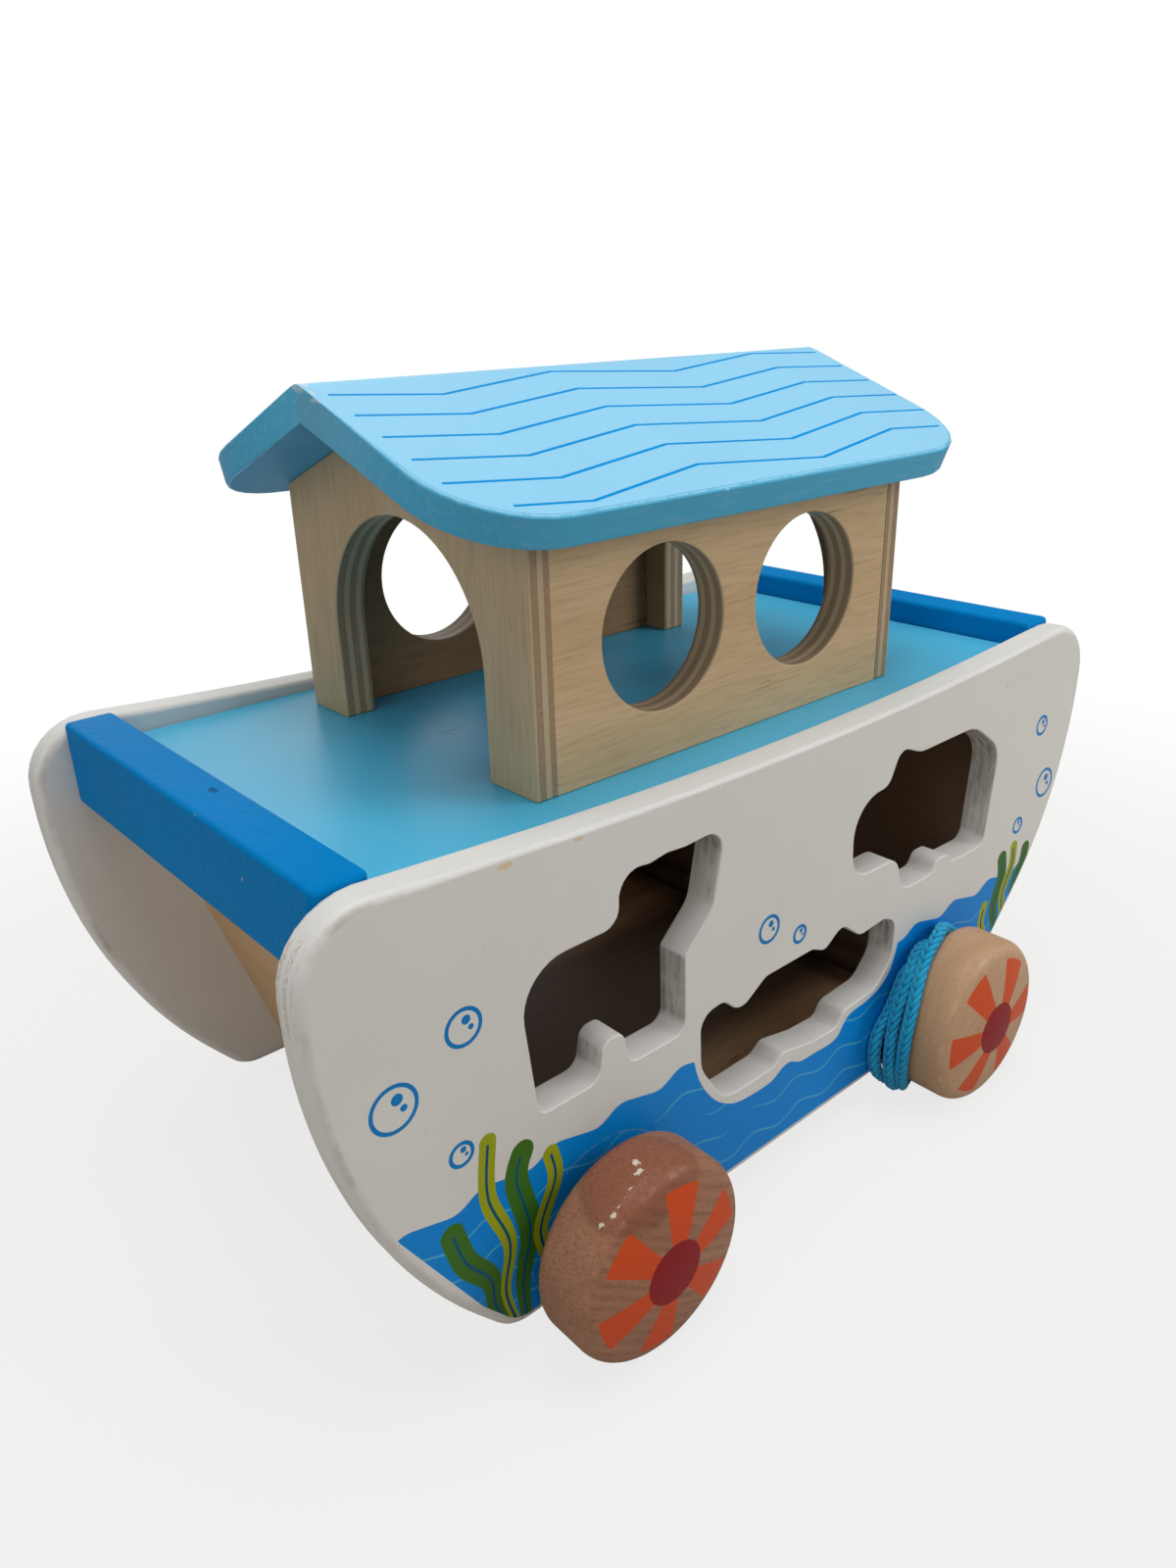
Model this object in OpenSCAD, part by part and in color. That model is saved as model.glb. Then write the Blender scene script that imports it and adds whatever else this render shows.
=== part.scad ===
// Wooden pull-along ark with animal cut-outs, a lift-off deckhouse and a wound pull cord.
// X runs from stern to bow, Z is up, the floor is z = 0 and the middle of the ark is x = y = 0.

/* [Hull] */
// Length of the side panels, stern to bow
hull_len = 288; // [260:1:330]
// Distance between the inner faces of the side panels
hull_w = 131; // [116:1:160]
// Thickness of the side panels
panel_t = 9; // [7:0.5:14]
// Height of the panels' lower edge above the floor
keel_z = 9.5; // [7:0.5:13]
// Height of the deck's upper face above the floor
deck_z = 129; // [122:1:150]
// Height of the panels' upper edge over the deck, amidships
rail_rise = 1.6; // [0:0.1:8]
// Rise of the panels' upper edge from amidships to the ends
sheer = 6.5; // [0:0.5:12]
// Radius of the panels' upper corners
rail_corner_r = 17; // [6:1:24]

/* [Bow and stern] */
// Height at which the bow's upright edge turns in
bow_knuckle_z = 76; // [70:1:90]
// Rake of the bow's lower edge from upright, in degrees
bow_rake = 41; // [30:0.5:44]
// Radius of the bow's curve
bow_r = 110; // [40:5:140]
// Height at which the stern's upright edge turns in
stern_knuckle_z = 61; // [50:1:75]
// Rake of the stern's lower edge from upright, in degrees
stern_rake = 39.5; // [25:0.5:44]
// Radius of the stern's curve
stern_r = 150; // [40:5:180]
// Radius where bow and stern meet the keel
keel_corner_r = 11; // [4:1:16]

/* [Crossbars and end panels] */
// Thickness of the crossbars along the hull
bar_t = 13; // [10:0.5:18]
// Height of the crossbars
bar_h = 23; // [14:0.5:26]
// Height of the crossbars' upper face over the deck
bar_rise = 7.6; // [2:0.2:9]
// Distance from the panels' ends to the crossbars' outer faces
bar_inset = 10; // [6:0.5:16]
// Rounding of the crossbars' long edges
bar_edge_r = 3; // [1:0.5:5]
// Thickness of the end panels
end_t = 9; // [7:0.5:11]
// Slope of the bow end panel from upright, in degrees
bow_slope = 19.7; // [15:0.1:20]
// Slope of the stern end panel from upright, in degrees
stern_slope = 17.5; // [12:0.1:19]
// Thickness of the hull floor
floor_t = 8; // [6:0.5:9]
// Height of the floor's underside over the panels' lower edge
floor_rise = 1; // [0:0.5:2]

/* [Deck and house] */
// Thickness of the deck board
deck_t = 8; // [6:0.5:10]
// Clearance round the deck board
deck_clear = 0.7; // [0.4:0.1:1.5]
// Length of the house over its gables
house_len = 134.4; // [125:0.1:150]
// Width of the house over its side walls
house_w = 102.4; // [98:0.1:112]
// Distance of the house's middle from amidships, toward the bow
house_shift = -1.2; // [-3:0.1:3]
// Thickness of the house walls
wall_t = 9; // [6:0.5:11]
// Height of the roof ridge over the deck
ridge_h = 91.2; // [86:0.1:110]
// Slope of the roof, in degrees
roof_slope = 21.2; // [15:0.1:22]
// Thickness of the roof boards
roof_t = 8; // [5:0.5:9]
// Length of the roof boards along the ridge
roof_len = 177; // [160:1:210]
// Width of the roof boards down the slope
roof_run = 68.6; // [62:0.1:80]
// Radius of the roof boards' lower corners
roof_corner_r = 25; // [5:1:32]
// Width of the doorways
door_w = 66.2; // [50:0.2:72]
// Height at which the doorways' arch begins
door_spring = 26.4; // [15:0.2:28]
// Diameter of the round windows
window_d = 40.9; // [25:0.1:44]
// Height of the windows' centres over the deck
window_h = 33.1; // [28:0.1:36]
// Distance between the windows' centres
window_gap = 53.2; // [48:0.2:58]
// Distance of the windows' middle from the house's middle, toward the bow
window_shift = 0.7; // [-3:0.1:3]

/* [Wheels] */
// Diameter of the wheels
wheel_d = 52.8; // [46:0.2:58]
// Thickness of the wheels
wheel_t = 20.1; // [16:0.1:24]
// Distance from the side panels to the wheels' inner faces
wheel_gap = 5; // [5:0.1:7]
// Rise of the wheels' domed outer face
wheel_dome = 3.7; // [0.5:0.1:5]
// Rounding of the wheels' outer edges
wheel_out_r = 5; // [2:0.5:8]
// Rounding of the wheels' inner edges
wheel_in_r = 3; // [2:0.5:4]
// Diameter of the wheels' inner boss
boss_d = 18; // [14:0.5:22]
// Running gap between boss and side panel
boss_gap = 1; // [0.5:0.1:1.5]
// Diameter of the axle dowels
axle_d = 8; // [6:0.5:9]
// Distance between the axles
wheelbase = 140; // [132:1:144]
// Distance of the axles' middle from amidships, toward the bow
axle_shift = -2.4; // [-4:0.1:2]
// Radial clearance of the axles in the side panels
axle_clear = 0.06; // [0.02:0.01:0.1]
// Depth of the axle's seat in a wheel
seat_depth = 11; // [8:0.5:14]

/* [Joinery] */
// Diameter of the hull dowels
dowel_d = 6; // [4:0.5:6]
// Depth of the hull dowels in the side panels
dowel_in_panel = 6; // [4:0.5:6.5]
// Depth of the hull dowels in the piece between the panels
dowel_in_piece = 12; // [8:0.5:18]
// Diameter of the house dowels and roof pins
pin_d = 3; // [2:0.2:4]
// Length of the house dowels in the side walls and of the roof pins on each side of the joint
pin_reach = 4; // [3:0.2:4.5]
// Shank diameter of the deck screws
screw_d = 3; // [2.5:0.1:3.5]
// Length of the deck screws
screw_len = 22; // [16:1:30]
// Clearance of dowels, pins and screws in their holes
glue_gap = 0.08; // [0.05:0.01:0.15]

/* [Cord] */
// Diameter of the pull cord
cord_d = 4.2; // [3.6:0.1:4.2]
// Diameter of the cord hole in the bow end panel
cord_hole_d = 5.4; // [5:0.1:7]
// Diameter of the knots
knot_d = 9.4; // [8:0.2:12]

/* [Hidden] */
$fn = 72;

// Colours of the finishes
white_paint = "#e9e7e1";
blue_paint = "#1f72c4";
pale_blue_paint = "#86c5e8";
bare_ply = "#b8966c";
inner_ply = "#9a7650";
turned_wood = "#c09468";
dowel_wood = "#d2b48c";
steel = "#9a9a9a";
turquoise = "#1f9fc4";

// Heights and faces worked out from the sizes above
half_len = hull_len / 2;
half_w = hull_w / 2;
out_y = half_w + panel_t;
bar_out_x = half_len - bar_inset;
bar_in_x = bar_out_x - bar_t;
bar_x = bar_out_x - bar_t / 2;
bar_z = deck_z + bar_rise - bar_h / 2;
lid_gap = 0.3;
bar_touch = 0.2;
end_top_z = deck_z - deck_t - lid_gap;
floor_z = keel_z + floor_rise;
axle_z = wheel_d / 2;
rear_x = axle_shift - wheelbase / 2;
front_x = axle_shift + wheelbase / 2;
axle_room = 1.5;
wheel_y = out_y + wheel_gap;
dowel_play = 0.3;

// Direction of a vector
function unit(v) = v / norm(v);

// Half of the angle between the edges that meet at corner b
function half_angle(a, b, c) = acos(max(-1, min(1, unit(a - b) * unit(c - b)))) / 2;

// Corner i of a closed list of [x, y, radius]
function at(list, i) = let (p = list[(i + len(list)) % len(list)]) [p[0], p[1]];

// Length that corner i would like to take from its edges
function wanted(list, i) = let (r = list[(i + len(list)) % len(list)][2])
    r == 0 ? 0 : r / tan(half_angle(at(list, i - 1), at(list, i), at(list, i + 1)));

// Length that corner i gets, where two corners share a short edge
function reach(list, i) = let (w = wanted(list, i))
    w * min(1,
        norm(at(list, i) - at(list, i - 1)) / max(0.001, w + wanted(list, i - 1)),
        norm(at(list, i + 1) - at(list, i)) / max(0.001, w + wanted(list, i + 1)));

// Steepest turn, in degrees, and longest length of one step of a rounded corner
arc_angle = 12;
arc_step = 5;
half_turn = 180;

// Arc that rounds the corner at b, starting and ending the given length along its edges
function corner_arc(a, b, c, length) = let (
        half = half_angle(a, b, c),
        r = length * tan(half),
        middle = b + unit(unit(a - b) + unit(c - b)) * r / sin(half),
        from = b + unit(a - b) * length - middle,
        to = b + unit(c - b) * length - middle,
        start = atan2(from.y, from.x),
        turn = (atan2(to.y, to.x) - start + 3 * half_turn) % (2 * half_turn) - half_turn,
        steps = max(2, ceil(abs(turn) / arc_angle), ceil(abs(turn) * r * PI / half_turn / arc_step)))
    [for (i = [0:steps]) middle + r * [cos(start + turn * i / steps), sin(start + turn * i / steps)]];

// Outline with rounded corners from a closed list of [x, y, radius]
function rounded(list) = [for (i = [0:len(list) - 1])
    each list[i][2] == 0 ? [at(list, i)]
        : corner_arc(at(list, i - 1), at(list, i), at(list, i + 1), reach(list, i))];

// Upper edge of the side panels at place x along the hull
function rail_z(x) = deck_z + rail_rise + sheer * pow(x / half_len, 2);

// Side panel outline, from the bow's upper corner round to the rail
rail_steps = 10;
corner_share = 2.6;
rail_flat = half_len - corner_share * rail_corner_r;
panel_outline = concat(
    [[half_len, rail_z(half_len), rail_corner_r]],
    [for (i = [0:rail_steps]) let (x = rail_flat * (1 - 2 * i / rail_steps)) [x, rail_z(x), 0]],
    [[-half_len, rail_z(half_len), rail_corner_r],
        [-half_len, stern_knuckle_z, stern_r],
        [-half_len + (stern_knuckle_z - keel_z) * tan(stern_rake), keel_z, keel_corner_r],
        [half_len - (bow_knuckle_z - keel_z) * tan(bow_rake), keel_z, keel_corner_r],
        [half_len, bow_knuckle_z, bow_r]]);

// Animal cut-outs: place of the middle from amidships and the deck, then corners with radii
bear_at = [-62, -36.5];
bear = [[-32.5, 13, 12], [-28.3, -25.7, 3], [-10.5, -25.7, 4], [-9, -15.7, 3], [-2.5, -15.7, 3],
    [-0.5, -25.8, 3.5], [18.3, -26, 4], [18, -4.2, 2], [27.5, 5, 8], [31.5, 26, 5],
    [18, 25.3, 8], [12, 25.8, 5], [6.4, 25, 3], [-3, 26.4, 6], [-3, 13, 5]];
crocodile_at = [4, -75];
crocodile = [[-42, 14, 5], [-33.5, 14.8, 4], [-27, 8.8, 5], [-17, 15, 4], [2.5, 15, 4], [8, 12.4, 3],
    [15.7, 17.4, 4], [24.5, 10.4, 5], [36, 11.2, 4], [42, 8.5, 5], [41.6, -4.5, 8], [34.5, -11.8, 7],
    [18.8, -12.6, 3], [15.8, -17, 3.5], [4, -16.2, 5], [-8.5, -13.4, 3], [-12.5, -16.4, 4],
    [-32.5, -16.4, 9], [-41.5, -2, 10]];
hippo_at = [58, -35];
hippo = [[-36.5, 14.5, 12], [-21, 14.2, 5], [-16, 24.5, 4], [-6, 20.5, 10], [22, 20.7, 14],
    [37.5, 10, 10], [34.3, -22.3, 4], [16, -22, 3.5], [14, -18.4, 3], [7.5, -18.2, 3],
    [5.5, -22.2, 3], [-10, -22.3, 6], [-13.5, -10, 6], [-35, -9.8, 8]];
cutouts = [[bear_at, bear], [crocodile_at, crocodile], [hippo_at, hippo]];

// Lean of an end panel, as run over rise: its foot stands where the slope puts it, or farther out
// where the axle next to it needs its room
end_top_x = bar_in_x - bar_touch;
function lean(slope, axle) = min(tan(slope),
    (end_top_x - axle - axle_d / 2 - axle_room - end_t / cos(slope)) / (end_top_z - axle_z));
bow_lean = lean(bow_slope, front_x);
stern_lean = lean(stern_slope, -rear_x);

// Faces of a leaning end panel at height z, measured outward from amidships
function end_outer(lean, z) = end_top_x - (end_top_z - z) * lean;
function end_inner(lean, z) = end_outer(lean, z) - end_t * norm([1, lean]);
function end_middle(lean, z) = (end_outer(lean, z) + end_inner(lean, z)) / 2;

// Dowel places in the hull as [x, z]
bar_pitch = bar_h / 2;
bar_dowel_places = [for (side = [-1, 1], lift = [-0.5, 0.5]) [side * bar_x, bar_z + lift * bar_pitch]];
floor_top = floor_z + floor_t;
end_dowel_shares = [0.2, 0.75];
end_dowel_heights = [for (share = end_dowel_shares) floor_top + share * (end_top_z - floor_top)];
end_dowel_places = concat(
    [for (z = end_dowel_heights) [end_middle(bow_lean, z), z]],
    [for (z = end_dowel_heights) [-end_middle(stern_lean, z), z]]);
floor_dowel_share = 0.62;
floor_dowel_d = min(dowel_d, floor_dowel_share * floor_t);
floor_dowel_x = 0.26 * half_len;
floor_dowel_places = [for (side = [-1, 1]) [side * floor_dowel_x, floor_top - floor_t / 2]];

// Dowels or their holes, across the hull at both side panels
module cross_dowels(places, d, play) {
    for (p = places, side = [-1, 1])
        translate([p[0], side * (half_w + (dowel_in_panel - dowel_in_piece) / 2), p[1]])
            rotate([90, 0, 0])
                cylinder(d = d, h = dowel_in_panel + dowel_in_piece + play, center = true);
}

module hull_dowel_holes() {
    cross_dowels(bar_dowel_places, dowel_d + 2 * glue_gap, dowel_play);
    cross_dowels(end_dowel_places, dowel_d + 2 * glue_gap, dowel_play);
    cross_dowels(floor_dowel_places, floor_dowel_d + 2 * glue_gap, dowel_play);
}

// Side panel standing with its outer face at the given y
module side_panel(y) {
    color(white_paint) difference() {
        translate([0, y, 0]) rotate([90, 0, 0]) linear_extrude(panel_t) difference() {
            polygon(rounded(panel_outline));
            for (cut = cutouts)
                translate([cut[0][0], deck_z + cut[0][1]]) polygon(rounded(cut[1]));
        }
        for (x = [rear_x, front_x])
            translate([x, y - panel_t / 2, axle_z]) rotate([90, 0, 0])
                cylinder(d = axle_d + 2 * axle_clear, h = 2 * panel_t, center = true);
        hull_dowel_holes();
    }
}

module crossbar(side) {
    w = bar_t / 2;
    h = bar_h / 2;
    color(blue_paint) difference() {
        translate([side * bar_x, 0, bar_z]) rotate([90, 0, 0])
            linear_extrude(hull_w, center = true)
                polygon(rounded([for (c = [[1, 1], [-1, 1], [-1, -1], [1, -1]])
                    [c[0] * w, c[1] * h, bar_edge_r]]));
        hull_dowel_holes();
    }
}

module end_panel(side, lean) {
    rotate([90, 0, 0]) linear_extrude(hull_w, center = true)
        polygon([[side * end_outer(lean, end_top_z), end_top_z],
            [side * end_inner(lean, end_top_z), end_top_z],
            [side * end_inner(lean, floor_z), floor_z],
            [side * end_outer(lean, floor_z), floor_z]]);
}

module hull_floor() {
    color(inner_ply) difference() {
        rotate([90, 0, 0]) linear_extrude(hull_w, center = true)
            polygon([[end_inner(bow_lean, floor_z), floor_z],
                [end_inner(bow_lean, floor_top), floor_top],
                [-end_inner(stern_lean, floor_top), floor_top],
                [-end_inner(stern_lean, floor_z), floor_z]]);
        hull_dowel_holes();
    }
}

// Underside of the roof over the deck, at distance y from the ridge
function roof_under(y) = ridge_h - roof_t / cos(roof_slope) - y * tan(roof_slope);

// House dowels join the gables, rebated by a share of their thickness, to the side walls
rebate_share = 0.36;
reach_share = 0.7;
house_x = house_len / 2;
house_y = house_w / 2;
wall_mid_y = house_y - wall_t / 2;
gable_mid_x = house_x - wall_t / 2;
wall_end_x = house_x - wall_t * (1 - rebate_share);
gable_reach = reach_share * (house_x - wall_end_x);
house_dowel_shares = [0.22, 0.81];
house_dowel_heights = house_dowel_shares * roof_under(house_y);

module house_dowel_set(d, play) {
    for (side = [-1, 1], across = [-1, 1], h = house_dowel_heights)
        translate([house_shift + side * (wall_end_x + (gable_reach - pin_reach) / 2),
                across * wall_mid_y, deck_z + h])
            rotate([0, 90, 0]) cylinder(d = d, h = gable_reach + pin_reach + play, center = true);
}

// Roof pins stand square to the slope, over the gables
roof_pin_y = house_y / 2;

module roof_pin_set(d, play) {
    for (side = [-1, 1], across = [-1, 1])
        translate([house_shift + side * gable_mid_x, across * roof_pin_y,
                deck_z + roof_under(roof_pin_y)])
            rotate([-across * roof_slope, 0, 0])
                cylinder(d = d, h = 2 * pin_reach + play, center = true);
}

// Screws come up through the deck into the gables' legs and the middle of the side walls
screw_head_d = 2 * screw_d;
screw_head_h = (screw_head_d - screw_d) / 2;
leg_mid_y = (house_y - wall_t + door_w / 2) / 2;
screw_places = concat(
    [for (side = [-1, 1], across = [-1, 1]) [house_shift + side * gable_mid_x, across * leg_mid_y]],
    [for (across = [-1, 1]) [house_shift, across * wall_mid_y]]);

module deck_screw_set(d, play) {
    for (p = screw_places) translate([p[0], p[1], deck_z - deck_t]) {
        cylinder(d = d, h = screw_len + play);
        cylinder(d1 = screw_head_d + d - screw_d, d2 = d, h = screw_head_h);
    }
}

deck_corner_r = 2;

module deck() {
    x = bar_in_x - deck_clear;
    y = half_w - deck_clear;
    color(pale_blue_paint) difference() {
        translate([0, 0, deck_z - deck_t]) linear_extrude(deck_t)
            polygon(rounded([for (c = [[1, 1], [-1, 1], [-1, -1], [1, -1]])
                [c[0] * x, c[1] * y, deck_corner_r]]));
        deck_screw_set(screw_d + 2 * glue_gap, 0);
    }
}

module gable(side) {
    color(bare_ply) difference() {
        translate([house_shift + side * gable_mid_x, 0, deck_z]) rotate([90, 0, 90])
            linear_extrude(wall_t, center = true) difference() {
                polygon([[-house_y, 0], [house_y, 0], [house_y, roof_under(house_y)],
                    [0, roof_under(0)], [-house_y, roof_under(house_y)]]);
                translate([0, door_spring]) circle(d = door_w);
                translate([-door_w / 2, -1]) square([door_w, door_spring + 1]);
            }
        for (across = [-1, 1])
            translate([house_shift + side * (wall_end_x - wall_t / 2), across * house_y, deck_z])
                cube([wall_t, 2 * wall_t, 4 * ridge_h], center = true);
        house_dowel_set(pin_d + 2 * glue_gap, dowel_play);
        roof_pin_set(pin_d + 2 * glue_gap, dowel_play);
        deck_screw_set(screw_d + 2 * glue_gap, dowel_play);
    }
}

module house_wall(across) {
    inner_y = house_y - wall_t;
    color(bare_ply) difference() {
        translate([house_shift, 0, deck_z]) rotate([90, 0, 90])
            linear_extrude(2 * wall_end_x, center = true)
                polygon([[across * house_y, 0], [across * house_y, roof_under(house_y)],
                    [across * inner_y, roof_under(inner_y)], [across * inner_y, 0]]);
        for (side = [-1, 1])
            translate([house_shift + window_shift + side * window_gap / 2, across * wall_mid_y,
                    deck_z + window_h])
                rotate([90, 0, 0]) cylinder(d = window_d, h = 2 * wall_t, center = true);
        house_dowel_set(pin_d + 2 * glue_gap, dowel_play);
        deck_screw_set(screw_d + 2 * glue_gap, dowel_play);
    }
}

// Roof board on the side given by across, cut upright where the two boards meet
module roof_board(across) {
    over = roof_t;
    x = roof_len / 2;
    outline = [[x, over, 0], [-x, over, 0], [-x, -roof_run, roof_corner_r], [x, -roof_run, roof_corner_r]];
    color(pale_blue_paint) difference() {
        mirror([0, across > 0 ? 1 : 0, 0]) translate([house_shift, 0, deck_z + ridge_h])
            difference() {
                rotate([roof_slope, 0, 0]) translate([0, 0, -roof_t])
                    linear_extrude(roof_t) polygon(rounded(outline));
                translate([-roof_len, 0, -4 * roof_t]) cube([2 * roof_len, 4 * over, 8 * roof_t]);
            }
        roof_pin_set(pin_d + 2 * glue_gap, dowel_play);
    }
}

// Wheel profile as distance from the axle and height over the inner face
dome_steps = 6;
wheel_profile = let (r = wheel_d / 2, boss = wheel_gap - boss_gap) rounded(concat(
    [[0, -boss, 0], [boss_d / 2, -boss, 0], [boss_d / 2, 0, 0],
        [r, 0, wheel_in_r], [r, wheel_t - wheel_dome, wheel_out_r]],
    [for (i = [dome_steps - 2:-1:0]) let (share = i / dome_steps)
        [share * r, wheel_t - wheel_dome * share * share, 0]]));

module wheel(x, across) {
    color(turned_wood) mirror([0, across > 0 ? 1 : 0, 0])
        translate([x, -wheel_y, axle_z]) rotate([90, 0, 0]) difference() {
            rotate_extrude() polygon(wheel_profile);
            translate([0, 0, -2 * wheel_gap])
                cylinder(d = axle_d + 2 * glue_gap, h = 2 * wheel_gap + seat_depth);
        }
}

module axle(x) {
    length = 2 * (wheel_y + seat_depth - dowel_play);
    color(dowel_wood) translate([x, 0, axle_z]) rotate([90, 0, 0])
        cylinder(d = axle_d, h = length, center = true);
}

// Cord winding: it laps the near front wheel's inner edge. Place q runs along the wheel's section,
// below zero on the tread, then round the edge, then inward between wheel and side panel.
cord_clear = (wheel_gap - cord_d) / 2;
edge_r = wheel_in_r + cord_clear + cord_d / 2;
edge_core = wheel_d / 2 - wheel_in_r;
edge_y = wheel_y + wheel_in_r;
edge_turn = edge_r * PI / 2;
function lap_angle(q) = max(0, min(edge_turn, q)) / edge_r * 180 / PI;
function lap_radius(q) = edge_core + edge_r * cos(lap_angle(q)) - max(0, q - edge_turn);
function lap_y(q) = -(edge_y - edge_r * sin(lap_angle(q)) - min(0, q));

// Share of a turn that lies out on the tread, by angle round the axle
function ease(t) = let (c = max(0, min(1, t))) c * c * (3 - 2 * c);
climb = [31, 148];
drop = [178, 264];
function on_tread(angle) = ease((angle - climb[0]) / (climb[1] - climb[0]))
    * (1 - ease((angle - drop[0]) / (drop[1] - drop[0])));

lap_pitch = 5.2;
lap_start = 140;
lap_travel = 825;
tread_q = 4.7;
gap_q = edge_turn + 8.2;
loop_rings = 24;
loop_sides = 6;

// Middle of the wound cord after the given travel in degrees
function lap_point(travel) = let (
        angle = lap_start - travel,
        share = on_tread((angle % 360 + 360) % 360),
        q = gap_q + (tread_q - gap_q) * share - lap_pitch * travel / 360)
    [front_x + lap_radius(q) * cos(angle), lap_y(q), axle_z + lap_radius(q) * sin(angle)];

lap_count = ceil(lap_travel * loop_rings / 360);
lap_points = [for (i = [0:lap_count]) lap_point(lap_travel * i / lap_count)];
tail_lift = 0.4;
tail_y = -(out_y + wheel_gap / 2 + tail_lift);
tuck = 0.6;
tail_points = [for (p = [[25.2, 35.5], [28, 27], [28.6, 18], [28.6, knot_d - tuck]])
    [front_x + p[0], tail_y, p[1]]];
winding_points = concat(lap_points, tail_points);

// Least gap between turns of the winding, measured on fine points at least half a turn apart
fine = 7.5;
fine_count = floor(lap_travel / fine);
fine_points = [for (i = [0:fine_count]) lap_point(i * fine)];
winding_gap = min([for (i = [0:fine_count], j = [i + 24:1:fine_count])
    norm(fine_points[i] - fine_points[j])]) - cord_d;
echo(winding_gap = winding_gap);

// Lead from the knot behind the bow end panel, under the hull and up to the winding
cord_exit_z = 75;
exit_x = end_outer(bow_lean, cord_exit_z);
knot_x = end_inner(bow_lean, cord_exit_z) - (knot_d / 2 + lid_gap) * norm([1, bow_lean]);
exit_len = 4;
drop_points = [[10, 0, 72], [15, -2, 63], [16, -5, 50], [15, -9, 36], [12, -14, 22], [7, -19.5, 11.5]];
floor_points = [[36.4, 49.5, 5.2], [27.4, 43.5, 3], [17.4, 36.5, 2.6], [8.4, 30.5, 2.6],
    [-1.6, 22.5, 2.6], [-10.6, 14.5, 2.6], [-18.1, 6.5, 2.7], [-22.1, 0.2, 3.6]];
loop_points = [[-25.3, -2.4, 6.4], [-28.3, -2.7, 10.9], [-30.7, -2.7, 15.2], [-31.6, -2.7, 19.6],
    [-31.2, -2.7, 24.2], [-29.3, -2.7, 28.6], [-26, -2.9, 33.2], [-23, -3.2, 38.6]];
lead_points = concat(
    [[knot_x + knot_d / 2 - tuck, 0, cord_exit_z], [exit_x + exit_len, 0, cord_exit_z]],
    [for (p = drop_points) [exit_x + p[0], p[1], p[2]]],
    [for (p = concat(floor_points, loop_points)) [front_x + p[0], p[1] - out_y, p[2]]],
    [lap_point(0)]);

// Tube of given sides round a line of points, with flat ends
function along(points, i) = unit(points[min(i + 1, len(points) - 1)] - points[max(i - 1, 0)]);
function carried(points, i, last) = let (t = along(points, i)) unit(last - (last * t) * t);
function frames(points, i = 0, last = [0, 1, 0.2]) = i == len(points) ? []
    : let (n = carried(points, i, last)) concat([n], frames(points, i + 1, n));

module tube(points, d, sides) {
    normals = frames(points);
    count = len(points);
    rings = [for (i = [0:count - 1]) let (n = normals[i], b = cross(along(points, i), n))
        for (k = [0:sides - 1])
            points[i] + d / 2 * (n * cos(360 * k / sides) + b * sin(360 * k / sides))];
    walls = [for (i = [0:count - 2], k = [0:sides - 1]) let (
            a = i * sides + k, b = i * sides + (k + 1) % sides)
        each [[a, a + sides, b], [b, a + sides, b + sides]]];
    first = [for (k = [1:sides - 2]) [0, k, k + 1]];
    tip = (count - 1) * sides;
    last = [for (k = [1:sides - 2]) [tip, tip + k + 1, tip + k]];
    polyhedron(rings, concat(walls, first, last), convexity = 10);
}

module cord_lead() {
    color(turquoise) tube(lead_points, cord_d, 8);
}

module cord_winding() {
    color(turquoise) tube(winding_points, cord_d, loop_sides);
}

// Knot as a round lump with a waist, its axis along the cord
module knot() {
    r = knot_d / 2;
    rotate_extrude() polygon(rounded([[0, -r, 0], [0.8 * r, -r, 0.5 * r], [r, -0.3 * r, 0.3 * r],
        [0.9 * r, 0, 0.2 * r], [r, 0.3 * r, 0.3 * r], [0.8 * r, r, 0.5 * r], [0, r, 0]]));
}

module cord_knot() {
    color(turquoise) translate([knot_x, 0, cord_exit_z]) rotate([0, 90, 0]) knot();
}

module cord_end_knot() {
    end = tail_points[len(tail_points) - 1];
    color(turquoise) translate([end.x, end.y, knot_d / 2]) knot();
}

module end_panel_bow() {
    color(inner_ply) difference() {
        end_panel(1, bow_lean);
        translate([exit_x, 0, cord_exit_z]) rotate([0, 90, 0])
            cylinder(d = cord_hole_d, h = 4 * end_t, center = true);
        hull_dowel_holes();
    }
}

module end_panel_stern() {
    color(inner_ply) difference() {
        end_panel(-1, stern_lean);
        hull_dowel_holes();
    }
}

module crossbar_dowels() {
    color(dowel_wood) cross_dowels(bar_dowel_places, dowel_d, 0);
}

module end_panel_dowels() {
    color(dowel_wood) cross_dowels(end_dowel_places, dowel_d, 0);
}

module floor_dowels() {
    color(dowel_wood) cross_dowels(floor_dowel_places, floor_dowel_d, 0);
}

module house_dowels() {
    color(dowel_wood) house_dowel_set(pin_d, 0);
}

module roof_pins() {
    color(dowel_wood) roof_pin_set(pin_d, 0);
}

module deck_screws() {
    color(steel) deck_screw_set(screw_d, 0);
}

side_panel(-half_w);  // side_panel_near
side_panel(out_y);  // side_panel_far
crossbar(1);  // crossbar_bow
crossbar(-1);  // crossbar_stern
end_panel_bow();
end_panel_stern();
hull_floor();
crossbar_dowels();
end_panel_dowels();
floor_dowels();
deck();
gable(1);  // gable_bow
gable(-1);  // gable_stern
house_wall(-1);  // house_wall_near
house_wall(1);  // house_wall_far
roof_board(-1);  // roof_near
roof_board(1);  // roof_far
house_dowels();
roof_pins();
deck_screws();
axle(front_x);  // front_axle
wheel(front_x, -1);  // front_wheel_near
wheel(front_x, 1);  // front_wheel_far
axle(rear_x);  // rear_axle
wheel(rear_x, -1);  // rear_wheel_near
wheel(rear_x, 1);  // rear_wheel_far
cord_lead();
cord_winding();
cord_knot();
cord_end_knot();
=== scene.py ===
import math

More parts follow.
